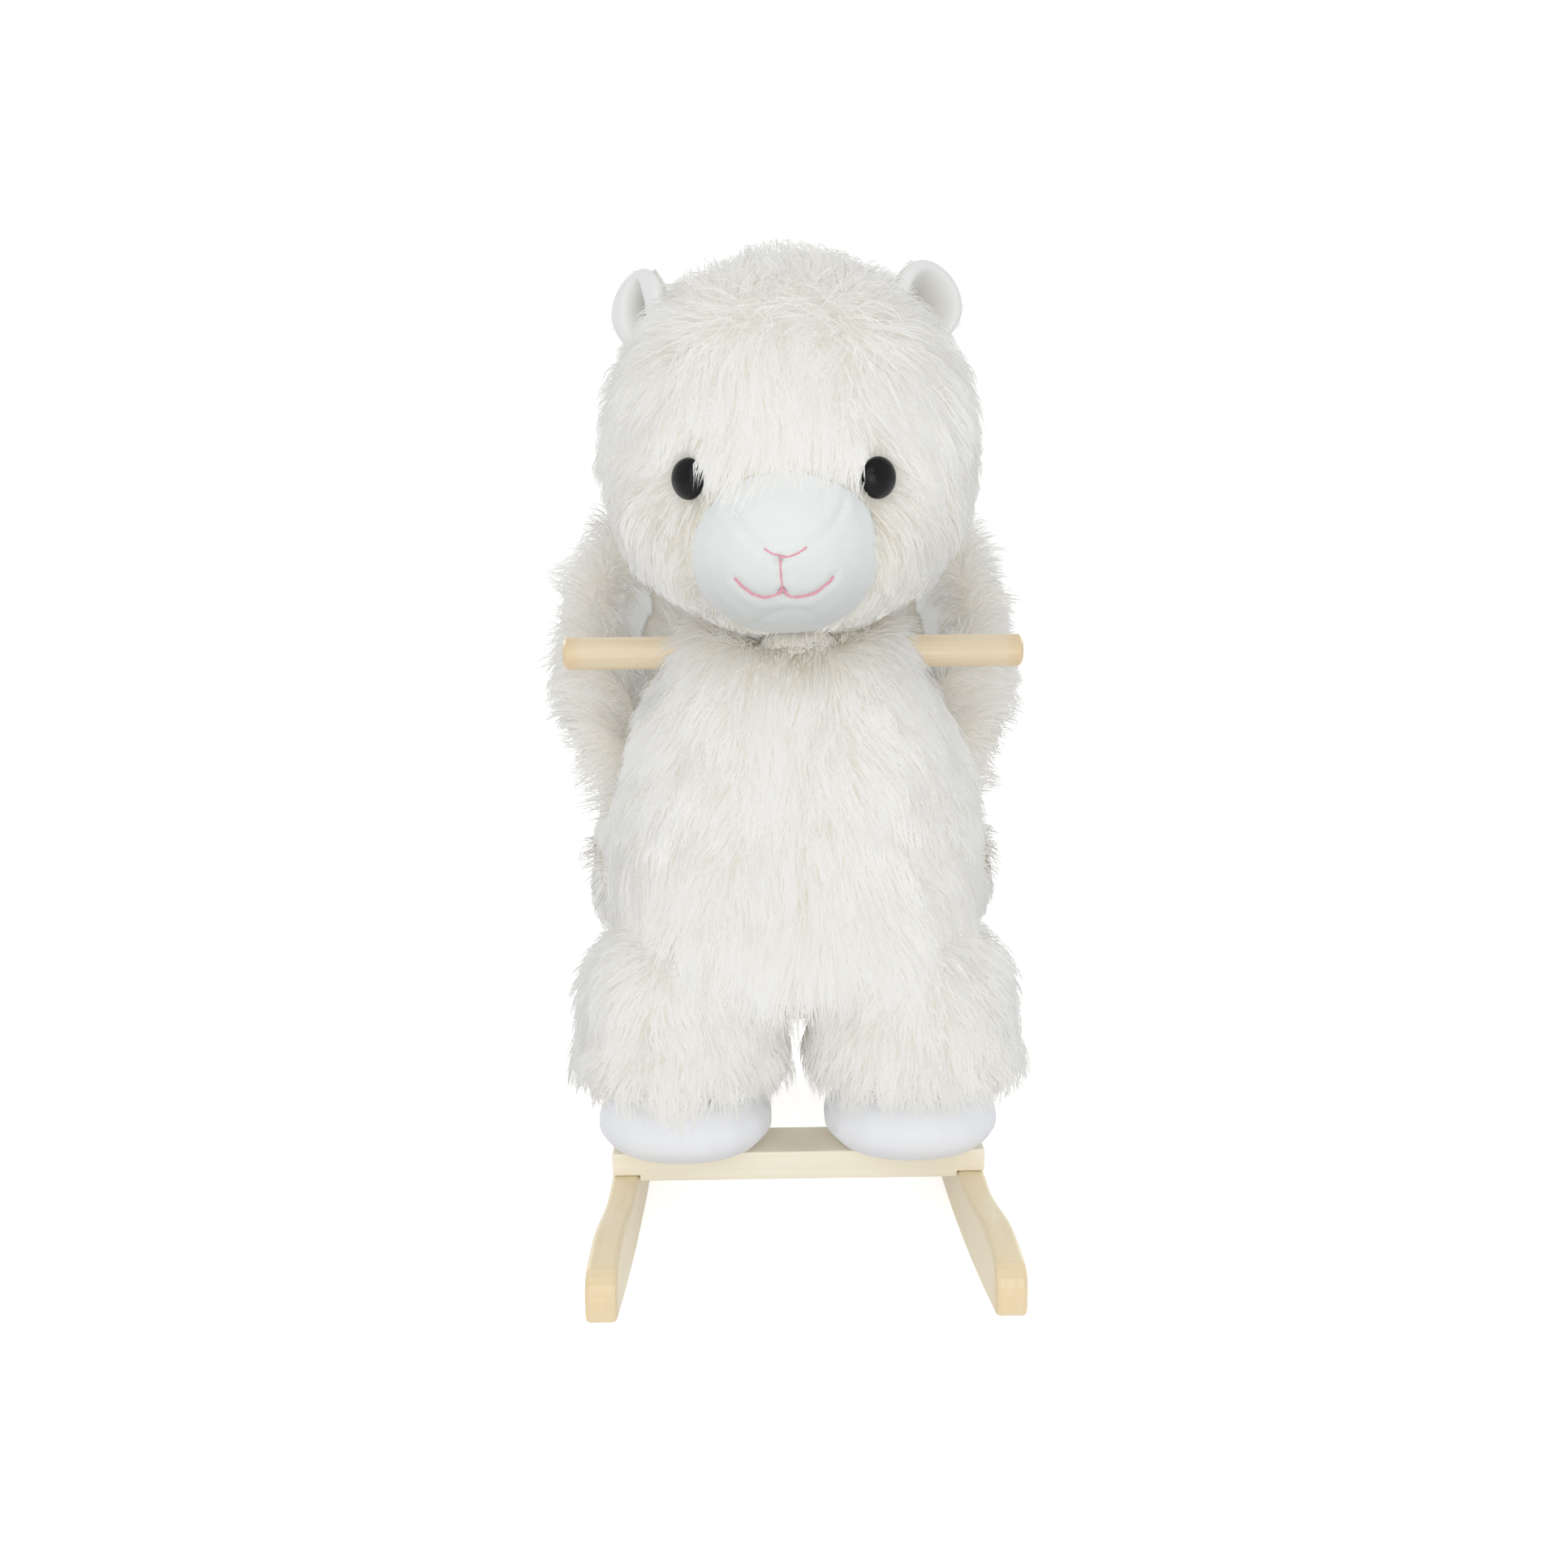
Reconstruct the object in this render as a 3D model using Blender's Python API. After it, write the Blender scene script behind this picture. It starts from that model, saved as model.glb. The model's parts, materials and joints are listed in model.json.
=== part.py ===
"""Rocking alpaca: a stuffed alpaca with a bucket seat on its back, on a pair of pine rockers.

Metres, +Z up. The face looks along -Y, left and right are as seen from the front, and the
origin is on the floor under the middle of the base.
"""
from collections import namedtuple
from math import asin, cos, pi, radians, sin

import bmesh
import bpy
from mathutils import Matrix, Vector

# Clearances
GAP = 0.0003               # air between two pieces that touch
SEAM_GAP = 0.0004          # air between two stuffed forms
BORE_GAP = 0.0003          # air round a screw, bolt, post or dowel in its hole

# Rockers
BASE_WIDTH = 0.250         # over the outsides of the two runners
RUNNER_LENGTH = 0.642
RUNNER_THICKNESS = 0.018
RUNNER_WAIST = 0.050       # floor to the flat top that carries the crossbars
RUNNER_TIP_TOP = 0.071     # floor to the raised top at each tip
ROCK_RADIUS = 1.230
REST_FLAT = 0.056          # flat in the middle of the curved underside
TIP_RADIUS_TOP = 0.015
TIP_RADIUS_BOTTOM = 0.005
RUNNER_EDGE = 0.0025       # rounding of the runners' long edges

# Crossbars
CROSSBAR_DEPTH = 0.038     # front to back
CROSSBAR_THICKNESS = 0.020
RABBET_DEPTH = 0.004       # step at each end that sits over the runner
CROSSBAR_EDGE = 0.0012

# Posts inside the legs, and the boards that they carry
LEG_X = 0.076              # middle of a leg, foot and post from the centre line
LEG_Y = 0.144              # middle of a crossbar, leg and post from the middle
POST_SIDE = 0.028
POST_LENGTH = 0.186
SEAT_BOARD_THICKNESS = 0.012
SEAT_BOARD_MARGIN = 0.003  # seat board beyond the posts
SEAT_BOARD_CORNER = 0.005
NECK_BOARD_THICKNESS = 0.018
NECK_BOARD_DEPTH = 0.085
NECK_BOARD_HEIGHT = 0.250
NECK_BOARD_CORNER = 0.025
GLUE_BLOCK_WIDTH = 0.020
GLUE_BLOCK_LENGTH = 0.060
GLUE_BLOCK_HEIGHT = 0.030
BACK_BOARD_THICKNESS = 0.012
BACK_BOARD_WIDTH = 0.130
BACK_BOARD_LAP = 0.024     # back board below the seat board's top face
BACK_BOARD_RISE = 0.190    # back board above the seat board's top face
BACK_BOARD_CORNER = 0.020

# Handle
HANDLE_DIAMETER = 0.022
HANDLE_LENGTH = 0.309
HANDLE_CHAMFER = 0.002
HANDLE_Y = 0.062 - LEG_Y     # the handle crosses the neck a little behind the front legs
HANDLE_RISE = 0.127        # handle above the seat board's top face

# Fasteners: head radius, shank radius and length of each kind
Fastener = namedtuple("Fastener", "head shank length head_height countersunk")
RUNNER_BOLT = Fastener(0.0060, 0.0030, 0.040, 0.003, False)
LEG_BOLT = Fastener(0.0060, 0.0030, 0.065, 0.003, False)
POST_SCREW = Fastener(0.0045, 0.0022, 0.050, 0.0023, True)
BLOCK_SCREW = Fastener(0.0040, 0.0020, 0.035, 0.0020, True)
BACK_SCREW = Fastener(0.0040, 0.0020, 0.040, 0.0020, True)
HANDLE_SCREW = Fastener(0.0040, 0.0020, 0.052, 0.0020, True)
HEAD_RECESS = 0.0005       # a head below the face that it is let into
BACK_SCREW_X = 0.040
HOLE_OPEN = 0.002          # a cutter for a head stands this far out of the face
SHANK_POINT = 0.6          # length of a pointed tip, in shank radii
COUNTERSINK_LAND = 0.0003  # straight edge of a countersunk head
FASTENER_SIDES = 12

# Heights and depths that the sizes above give
RISE_START = LEG_Y + CROSSBAR_DEPTH / 2 + 0.015   # from the middle, where a runner's top starts to rise
RISE_END = RUNNER_LENGTH / 2 - 0.035
CROSSBAR_BOTTOM = RUNNER_WAIST + GAP - RABBET_DEPTH
CROSSBAR_TOP = CROSSBAR_BOTTOM + CROSSBAR_THICKNESS
POST_BOTTOM = CROSSBAR_TOP + GAP
POST_TOP = POST_BOTTOM + POST_LENGTH
SEAT_BOARD_BOTTOM = POST_TOP + GAP
DECK = SEAT_BOARD_BOTTOM + SEAT_BOARD_THICKNESS
HANDLE_Z = DECK + HANDLE_RISE
SEAT_BOARD_HALF_WIDTH = LEG_X + POST_SIDE / 2 + SEAT_BOARD_MARGIN
SEAT_BOARD_BACK = LEG_Y + POST_SIDE / 2 + SEAT_BOARD_MARGIN
SEAT_BOARD_FRONT = -SEAT_BOARD_BACK
BACK_BOARD_FRONT = SEAT_BOARD_BACK + GAP
NECK_BOARD_FRONT = HANDLE_Y - NECK_BOARD_DEPTH / 2

# Stuffed forms. A form runs from low to high along Z, or from front to back along Y. Its middle
# line, its half width in X and its other half size each have a value near the low end, in the
# middle and near the high end.
Form = namedtuple("Form", "axis low high x line wide deep square blunt rings sides")

WALL_BACK = BACK_BOARD_FRONT + BACK_BOARD_THICKNESS / 2
BODY_FRONT = 0.019 - LEG_Y
BODY_BACK = WALL_BACK + 0.038
BODY_LINE = (DECK - 0.030, DECK - 0.032, DECK - 0.026)
BODY_WIDE = (0.128, 0.153, 0.140)
BODY_TALL = (0.066, 0.074, 0.070)
BODY = Form("Y", BODY_FRONT, BODY_BACK, 0.0, BODY_LINE, BODY_WIDE, BODY_TALL, 2.5, 3.2, 13, 22)

CHEST_BELOW_DECK = 0.101
CHEST_LINE = (HANDLE_Y - 0.026, HANDLE_Y - 0.016, HANDLE_Y - 0.006)
CHEST_WIDE = (0.125, 0.113, 0.036)
CHEST_DEEP = (0.086, 0.091, 0.050)
NECK_TOP_RISE = 0.205      # top of the neck above the deck, inside the head
CHEST = Form("Z", DECK - CHEST_BELOW_DECK, DECK + NECK_TOP_RISE, 0.0, CHEST_LINE, CHEST_WIDE,
             CHEST_DEEP, 2.4, 3.2, 13, 22)

HEAD_X = -0.0025           # the head was sewn on a little to the left
HEAD_Y = HANDLE_Y - 0.030
HEAD_RISE = 0.256          # middle of the head above the deck
HEAD_HALF_WIDTH = 0.116
HEAD_HALF_DEPTH = 0.113
HEAD_HALF_HEIGHT = 0.119
HEAD_TURN = radians(-3.5)  # the face looks a little to the left
HEAD_Z = DECK + HEAD_RISE
HEAD = Form("Z", HEAD_Z - HEAD_HALF_HEIGHT, HEAD_Z + HEAD_HALF_HEIGHT, HEAD_X, (HEAD_Y,) * 3,
            (HEAD_HALF_WIDTH,) * 3, (HEAD_HALF_DEPTH,) * 3, 2.1, 2.15, 14, 24)

MUZZLE_FRONT = HEAD_Y - 0.136
MUZZLE_BACK = HEAD_Y - 0.018
MUZZLE_Z = HEAD_Z - 0.055
MUZZLE_LINE = (MUZZLE_Z - 0.004, MUZZLE_Z + 0.001, MUZZLE_Z + 0.010)
MUZZLE = Form("Y", MUZZLE_FRONT, MUZZLE_BACK, HEAD_X, MUZZLE_LINE, (0.050, 0.057, 0.057),
              (0.045, 0.050, 0.054), 2.15, 2.3, 11, 20)

LEG_BOTTOM = CROSSBAR_TOP + 0.036
LEG_TOP = DECK - 0.046
LEG_WIDE = (0.066, 0.066, 0.062)
LEG_DEEP = (0.056, 0.057, 0.056)
LEG = Form("Z", LEG_BOTTOM, LEG_TOP, 0.0, (0.0,) * 3, LEG_WIDE, LEG_DEEP, 2.3, 3.6, 9, 16)

FOOT_SAG = 0.007           # a foot's rim hangs this far below the crossbar's top
FOOT_HEIGHT = 0.052
FOOT_BOTTOM = CROSSBAR_TOP - FOOT_SAG
FOOT_HALF_WIDTH = 0.060
FOOT_HALF_DEPTH = 0.049
FOOT = Form("Z", FOOT_BOTTOM, FOOT_BOTTOM + FOOT_HEIGHT, 0.0, (0.0,) * 3, (FOOT_HALF_WIDTH,) * 3,
            (FOOT_HALF_DEPTH,) * 3, 2.2, 2.4, 7, 16)

CUSHION_BACK = WALL_BACK - 0.004
CUSHION_FRONT = HANDLE_Y + 0.032
CUSHION_BOTTOM = DECK + 0.008
CUSHION_TOP = DECK + 0.056
CUSHION_HALF_WIDTH = 0.124
CUSHION = Form("Z", CUSHION_BOTTOM, CUSHION_TOP, 0.0, ((CUSHION_FRONT + CUSHION_BACK) / 2,) * 3,
               (CUSHION_HALF_WIDTH,) * 3, ((CUSHION_BACK - CUSHION_FRONT) / 2,) * 3, 3.2, 3.0, 7, 20)

# Bucket seat wall, a half ring in plan that is open to the front
WALL_HALF_WIDTH = 0.153    # centre line to the middle of the wall at its sides
WALL_X = -0.003            # the seat was sewn on a little to the left
WALL_FRONT = HANDLE_Y + 0.076
WALL_THICKNESS = 0.040
WALL_SQUARE = 3.0          # squareness of the half ring in plan
WALL_EDGE_SQUARE = 2.4     # squareness of its section
WALL_END_ANGLES = (radians(62), radians(32))  # rings that round off each front end
WALL_BOTTOM = DECK - 0.006
WALL_FRONT_TOP = DECK + 0.080
WALL_BACK_TOP = DECK + 0.224
WALL_LEAN_IN = 0.014       # the side walls stand this far in at the bottom
LEAN_LOW = DECK + 0.018
LEAN_HIGH = DECK + 0.078
WALL_STATIONS = 14
WALL_SIDES = 12

# Ears and eyes
EAR_X = 0.092
EAR_Y = HEAD_Y + 0.010
EAR_LOW = HEAD_Z + 0.060
EAR_HIGH = HEAD_Z + 0.119
EAR_HALF_WIDTH = 0.019
EAR_TIP_WIDTH = 0.015
EAR_HALF_THICKNESS = 0.0085
EAR_RIM = 0.005            # padded edge round the hollow of an ear
EAR_LEAN = radians(14)
EAR_TURN = radians(24)
EAR_CUP = 0.008            # depth of the hollow in the front of an ear
EYE_X = 0.0530             # an eye from the middle of the face
EYE_RISE = -0.014          # an eye from the middle of the head
EYE_TURN = radians(38)
EYE_RADIUS = 0.012
EYE_DOME = 0.0075
EYE_RIM = 0.0015
EYE_SEAT = 0.1130          # the eye's rim from the head's upright axis
EYE_SHANK_RADIUS = 0.003
EYE_SHANK = 0.016
WASHER_RADIUS = 0.009
WASHER_THICKNESS = 0.0015
WASHER_DEPTH = 0.008       # washer behind the eye's rim
EYE_SIDES = 16


def finish_material(name, colour, roughness, metallic=0.0):
    material = bpy.data.materials.new(name)
    material.use_nodes = True
    shader = material.node_tree.nodes["Principled BSDF"]
    shader.inputs["Base Color"].default_value = (*colour, 1.0)
    shader.inputs["Roughness"].default_value = roughness
    shader.inputs["Metallic"].default_value = metallic
    return material


def clear_scene():
    for obj in list(bpy.data.objects):
        bpy.data.objects.remove(obj, do_unlink=True)


def add_object(name, bm, material, place=(0.0, 0.0, 0.0)):
    """Turn a bmesh into a named object that stands at its place."""
    bmesh.ops.recalc_face_normals(bm, faces=bm.faces)
    mesh = bpy.data.meshes.new(name)
    bm.to_mesh(mesh)
    bm.free()
    mesh.materials.append(material)
    obj = bpy.data.objects.new(name, mesh)
    obj.location = place
    bpy.context.scene.collection.objects.link(obj)
    return obj


def shade_round(obj, angle=radians(40)):
    obj.data.shade_smooth()
    obj.data.set_sharp_from_angle(angle=angle)


def subtract(target, *cutters):
    """Cut each cutter out of the target, and remove the cutters."""
    bpy.context.view_layer.update()
    for cutter in cutters:
        cutter.hide_render = True
        cutter.display_type = "WIRE"
        modifier = target.modifiers.new("cut", "BOOLEAN")
        modifier.operation = "DIFFERENCE"
        modifier.solver = "EXACT"
        modifier.object = cutter
        with bpy.context.temp_override(object=target, active_object=target):
            bpy.ops.object.modifier_apply(modifier=modifier.name)
    for cutter in cutters:
        bpy.data.objects.remove(cutter, do_unlink=True)


# Soft forms

def through(values, s):
    """Smooth value at s from 0 to 1 through a low, a middle and a high value."""
    low, middle, high = values
    return low * (1 - s) * (1 - 2 * s) + middle * 4 * s * (1 - s) + high * s * (2 * s - 1)


def squared(value, square):
    """Sine or cosine of a circle, made squarer."""
    return abs(value) ** (2 / square) * (1 if value >= 0 else -1)


def close_with_poles(bm, loops, start, end):
    """Join neighbouring loops with triangles, all split the same way, and close both ends on a point."""
    for near, far in zip(loops, loops[1:]):
        for k in range(len(near)):
            m = (k + 1) % len(near)
            bm.faces.new((near[k], near[m], far[m]))
            bm.faces.new((near[k], far[m], far[k]))
    for loop, point in ((loops[0], start), (loops[-1], end)):
        pole = bm.verts.new(point)
        for k in range(len(loop)):
            bm.faces.new((loop[k], loop[(k + 1) % len(loop)], pole))


def form_point(form, along, line, dx, dz):
    if form.axis == "Z":
        return (form.x + dx, line + dz, along)
    return (form.x + dx, along, line + dz)


def form_mesh(form, grow=0.0):
    """A stuffed shape, larger all round by grow."""
    middle = (form.low + form.high) / 2
    half = (form.high - form.low) / 2 + grow
    bm = bmesh.new()
    loops = []
    for ring in range(1, form.rings):
        height = -cos(pi * ring / form.rings)
        s = (height + 1) / 2
        rounding = (1 - abs(height) ** form.blunt) ** 0.5
        wide = (through(form.wide, s) + grow) * rounding
        deep = (through(form.deep, s) + grow) * rounding
        line = through(form.line, s)
        loop = []
        for k in range(form.sides):
            turn = 2 * pi * (k + 0.5) / form.sides
            dx = wide * squared(cos(turn), form.square)
            dz = deep * squared(sin(turn), form.square)
            loop.append(bm.verts.new(form_point(form, middle + half * height, line, dx, dz)))
        loops.append(loop)
    start = form_point(form, middle - half, form.line[0], 0.0, 0.0)
    end = form_point(form, middle + half, form.line[2], 0.0, 0.0)
    close_with_poles(bm, loops, start, end)
    return bm


def stuffed(name, form, material, place=(0.0, 0.0, 0.0)):
    return add_object(name, form_mesh(form), material, place)


def form_cutter(form, place=(0.0, 0.0, 0.0), grow=SEAM_GAP):
    return add_object("cutter", form_mesh(form, grow), MATERIALS["steel"], place)


def wall_top(backness):
    return WALL_FRONT_TOP + (WALL_BACK_TOP - WALL_FRONT_TOP) * sin(backness * pi / 2) ** 0.8


def wall_lean(z):
    s = min(max((z - LEAN_LOW) / (LEAN_HIGH - LEAN_LOW), 0.0), 1.0)
    return -WALL_LEAN_IN * (1 - s * s * (3 - 2 * s))


def wall_loop(turn, forward, scale, grow):
    """Points of one upright loop of the seat wall. Turn runs from -90 degrees, at the left end, to +90."""
    length = WALL_BACK - WALL_FRONT
    px = squared(sin(turn), WALL_SQUARE)
    py = squared(max(cos(turn), 0.0), WALL_SQUARE)
    out = Vector((abs(px) ** (WALL_SQUARE - 1) / WALL_HALF_WIDTH * (1 if px >= 0 else -1),
                  py ** (WALL_SQUARE - 1) / length)).normalized()
    top = wall_top(py)
    middle = (top + WALL_BOTTOM) / 2
    half_height = ((top - WALL_BOTTOM) / 2 + grow) * scale
    half_thick = (WALL_THICKNESS / 2 + grow) * scale
    points = []
    for k in range(WALL_SIDES):
        angle = 2 * pi * (k + 0.5) / WALL_SIDES
        offset = half_thick * squared(cos(angle), WALL_EDGE_SQUARE)
        z = middle + half_height * squared(sin(angle), WALL_EDGE_SQUARE)
        x = WALL_X + px * WALL_HALF_WIDTH + out.x * (offset + wall_lean(z))
        y = WALL_FRONT + py * length + out.y * offset - forward
        points.append((x, y, z))
    return points


def wall_end(sx, round_off):
    """Foremost point of the seat wall at its left or right end."""
    middle = (wall_top(0.0) + WALL_BOTTOM) / 2
    return (WALL_X + sx * (WALL_HALF_WIDTH + wall_lean(middle)), WALL_FRONT - round_off, middle)


def wall_mesh(grow=0.0):
    """The bucket seat's padded wall, larger all round by grow."""
    round_off = WALL_THICKNESS / 2 + grow
    ends = [(round_off * sin(a), cos(a)) for a in WALL_END_ANGLES]
    turns = [-pi / 2 + pi * k / WALL_STATIONS for k in range(WALL_STATIONS + 1)]
    plan = [(turns[0], forward, scale) for forward, scale in ends]
    plan += [(turn, 0.0, 1.0) for turn in turns]
    plan += [(turns[-1], forward, scale) for forward, scale in reversed(ends)]
    bm = bmesh.new()
    loops = [[bm.verts.new(point) for point in wall_loop(turn, forward, scale, grow)]
             for turn, forward, scale in plan]
    close_with_poles(bm, loops, wall_end(-1, round_off), wall_end(1, round_off))
    return bm


# Boards and bars

def extruded(outline, plane, start, end):
    """A bmesh prism of an outline in the XY, XZ or YZ plane, from start to end along the third axis."""
    corner = {"XY": lambda a, b, c: (a, b, c),
              "XZ": lambda a, b, c: (a, c, b),
              "YZ": lambda a, b, c: (c, a, b)}[plane]
    bm = bmesh.new()
    near = [bm.verts.new(corner(a, b, start)) for a, b in outline]
    far = [bm.verts.new(corner(a, b, end)) for a, b in outline]
    bm.faces.new(near)
    bm.faces.new(far)
    for k in range(len(outline)):
        m = (k + 1) % len(outline)
        bm.faces.new((near[k], near[m], far[m], far[k]))
    bmesh.ops.recalc_face_normals(bm, faces=bm.faces)
    return bm


def box(low, high, grow=0.0):
    outline = [(low[0] - grow, low[1] - grow), (high[0] + grow, low[1] - grow),
               (high[0] + grow, high[1] + grow), (low[0] - grow, high[1] + grow)]
    return extruded(outline, "XY", low[2] - grow, high[2] + grow)


def round_edges(bm, width, sharper_than, segments=2):
    """Round the outward edges that turn by more than an angle."""
    edges = [edge for edge in bm.edges
             if edge.is_manifold and edge.is_convex and edge.calc_face_angle() > sharper_than]
    bmesh.ops.bevel(bm, geom=edges, offset=width, segments=segments, profile=0.5, affect="EDGES")


def corner_arc(middle, radius, start, end, steps):
    """Points on an arc about a middle point, from one angle to another."""
    angles = [start + (end - start) * k / steps for k in range(steps + 1)]
    return [(middle[0] + radius * cos(a), middle[1] + radius * sin(a)) for a in angles]


def cut_corners(low, high, corner):
    """Rectangle outline with its four corners cut at 45 degrees."""
    (a, b), (c, d) = low, high
    return [(a + corner, b), (c - corner, b), (c, b + corner), (c, d - corner),
            (c - corner, d), (a + corner, d), (a, d - corner), (a, b + corner)]


def runner_top(y):
    s = min(max((abs(y) - RISE_START) / (RISE_END - RISE_START), 0.0), 1.0)
    return RUNNER_WAIST + (RUNNER_TIP_TOP - RUNNER_WAIST) * s * s * (3 - 2 * s)


def runner_outline():
    """Side view of a runner: curved underside with a flat middle, raised and rounded tips."""
    half = RUNNER_LENGTH / 2
    flat_angle = asin(REST_FLAT / 2 / ROCK_RADIUS)
    tip_angle = asin((half - TIP_RADIUS_BOTTOM) / ROCK_RADIUS)
    steps = 7
    angles = [flat_angle + (tip_angle - flat_angle) * k / steps for k in range(steps + 1)]
    lift = ROCK_RADIUS * cos(flat_angle)
    back = [(ROCK_RADIUS * sin(a), lift - ROCK_RADIUS * cos(a)) for a in angles]
    low_middle = (half - TIP_RADIUS_BOTTOM, back[-1][1] + TIP_RADIUS_BOTTOM)
    back = back[:-1] + corner_arc(low_middle, TIP_RADIUS_BOTTOM, tip_angle - pi / 2, 0.0, 3)
    top_middle = (half - TIP_RADIUS_TOP, RUNNER_TIP_TOP - TIP_RADIUS_TOP)
    back += corner_arc(top_middle, TIP_RADIUS_TOP, 0.0, pi / 2, 5)
    rise = [RISE_END - (RISE_END - RISE_START) * k / 7 for k in range(8)]
    back += [(y, runner_top(y)) for y in rise]
    front = [(-y, z) for y, z in reversed(back)]
    return back + front


def circle(radius, z, sides):
    turns = [2 * pi * (k + 0.5) / sides for k in range(sides)]
    return [(radius * cos(a), radius * sin(a), z) for a in turns]


def turned(profile, sides):
    """A bmesh turned about Z from radius and height pairs, which start and end on the axis."""
    bm = bmesh.new()
    loops = [[bm.verts.new(point) for point in circle(radius, z, sides)] for radius, z in profile[1:-1]]
    close_with_poles(bm, loops, (0.0, 0.0, profile[0][1]), (0.0, 0.0, profile[-1][1]))
    return bm


def fastener_mesh(kind, grow=0.0):
    """A screw or bolt that points down from its head's top at the origin."""
    neck = -kind.head_height
    tip = -kind.length
    point = SHANK_POINT * kind.shank
    head = kind.head + grow
    shank = kind.shank + grow
    top = HOLE_OPEN if grow else 0.0
    side = -COUNTERSINK_LAND if kind.countersunk else neck - grow
    profile = [(0.0, top), (head, top), (head, side), (shank, neck - grow), (shank, tip + point),
               (shank / 2, tip - grow), (0.0, tip - grow)]
    return turned(profile, FASTENER_SIDES)


def aimed(obj, place, direction):
    """Stand an object that points down at a place, turned to point along a direction."""
    obj.rotation_mode = "QUATERNION"
    obj.rotation_quaternion = Vector((0, 0, -1)).rotation_difference(Vector(direction))
    obj.location = place
    return obj


def fastener(name, kind, place, direction):
    obj = add_object(name, fastener_mesh(kind), MATERIALS["steel"])
    shade_round(obj)
    return aimed(obj, place, direction)


def fastener_hole(kind, place, direction):
    return aimed(add_object("cutter", fastener_mesh(kind, BORE_GAP), MATERIALS["steel"]), place, direction)


def box_cutter(low, high, grow):
    return add_object("cutter", box(low, high, grow), MATERIALS["steel"])


# Pieces

SIDES = (("left", -1), ("right", 1))
ENDS = (("front", -1), ("rear", 1))


def corners():
    """Name and place of each leg."""
    return [(f"{end}_{side}", sx * LEG_X, sy * LEG_Y) for end, sy in ENDS for side, sx in SIDES]


def runner_bolt_places():
    x = BASE_WIDTH / 2 - RUNNER_THICKNESS / 2
    return [(f"{end}_{side}", (sx * x, sy * LEG_Y, CROSSBAR_TOP - HEAD_RECESS))
            for end, sy in ENDS for side, sx in SIDES]


def make_runners():
    for side, sx in SIDES:
        outer = sx * BASE_WIDTH / 2
        inner = sx * (BASE_WIDTH / 2 - RUNNER_THICKNESS)
        bm = extruded(runner_outline(), "YZ", min(outer, inner), max(outer, inner))
        round_edges(bm, RUNNER_EDGE, radians(60))
        runner = add_object(f"{side}_runner", bm, MATERIALS["pine"])
        places = [place for corner, place in runner_bolt_places() if corner.endswith(side)]
        subtract(runner, *[fastener_hole(RUNNER_BOLT, place, (0, 0, -1)) for place in places])
        shade_round(runner)


def make_crossbars():
    half = BASE_WIDTH / 2
    shoulder = half - RUNNER_THICKNESS - GAP
    seat = RUNNER_WAIST + GAP
    outline = [(-half, seat), (-shoulder, seat), (-shoulder, CROSSBAR_BOTTOM), (shoulder, CROSSBAR_BOTTOM),
               (shoulder, seat), (half, seat), (half, CROSSBAR_TOP), (-half, CROSSBAR_TOP)]
    for end, sy in ENDS:
        middle = sy * LEG_Y
        bm = extruded(outline, "XZ", middle - CROSSBAR_DEPTH / 2, middle + CROSSBAR_DEPTH / 2)
        round_edges(bm, CROSSBAR_EDGE, radians(60))
        bar = add_object(f"{end}_crossbar", bm, MATERIALS["pine"])
        holes = [fastener_hole(RUNNER_BOLT, place, (0, 0, -1))
                 for corner, place in runner_bolt_places() if corner.startswith(end)]
        holes += [fastener_hole(LEG_BOLT, (sx * LEG_X, middle, CROSSBAR_BOTTOM + HEAD_RECESS), (0, 0, 1))
                  for _, sx in SIDES]
        subtract(bar, *holes)
        shade_round(bar)


def post_box(x, y):
    half = POST_SIDE / 2
    return (x - half, y - half, POST_BOTTOM), (x + half, y + half, POST_TOP)


def make_posts():
    for corner, x, y in corners():
        bm = box(*post_box(0.0, 0.0))
        post = add_object(f"{corner}_leg_post", bm, MATERIALS["spruce"], (x, y, 0.0))
        leg_bolt = (x, y, CROSSBAR_BOTTOM + HEAD_RECESS)
        subtract(post, fastener_hole(LEG_BOLT, leg_bolt, (0, 0, 1)),
                 fastener_hole(POST_SCREW, (x, y, DECK - HEAD_RECESS), (0, 0, -1)))
        fastener(f"{corner}_leg_bolt", LEG_BOLT, leg_bolt, (0, 0, 1))
        fastener(f"{corner}_post_screw", POST_SCREW, (x, y, DECK - HEAD_RECESS), (0, 0, -1))
    for corner, place in runner_bolt_places():
        fastener(f"{corner}_runner_bolt", RUNNER_BOLT, place, (0, 0, -1))


def glue_block_box(sx):
    near = NECK_BOARD_THICKNESS / 2 + GAP
    xs = sorted((sx * near, sx * (near + GLUE_BLOCK_WIDTH)))
    return ((xs[0], HANDLE_Y - GLUE_BLOCK_LENGTH / 2, DECK + GAP),
            (xs[1], HANDLE_Y + GLUE_BLOCK_LENGTH / 2, DECK + GAP + GLUE_BLOCK_HEIGHT))


def block_screw_place(sx):
    x = sx * (NECK_BOARD_THICKNESS / 2 + GAP + GLUE_BLOCK_WIDTH / 2)
    return (x, HANDLE_Y, SEAT_BOARD_BOTTOM + HEAD_RECESS)


def back_screw_place(sx):
    back = BACK_BOARD_FRONT + BACK_BOARD_THICKNESS - HEAD_RECESS
    return (sx * BACK_SCREW_X, back, SEAT_BOARD_BOTTOM + SEAT_BOARD_THICKNESS / 2)


def handle_screw_place():
    return (0.0, NECK_BOARD_FRONT + HEAD_RECESS, HANDLE_Z)


def seat_board_mesh(grow=0.0):
    half = SEAT_BOARD_HALF_WIDTH + grow
    outline = cut_corners((-half, SEAT_BOARD_FRONT - grow), (half, SEAT_BOARD_BACK + grow),
                          SEAT_BOARD_CORNER)
    return extruded(outline, "XY", SEAT_BOARD_BOTTOM - grow, DECK + grow)


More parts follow.
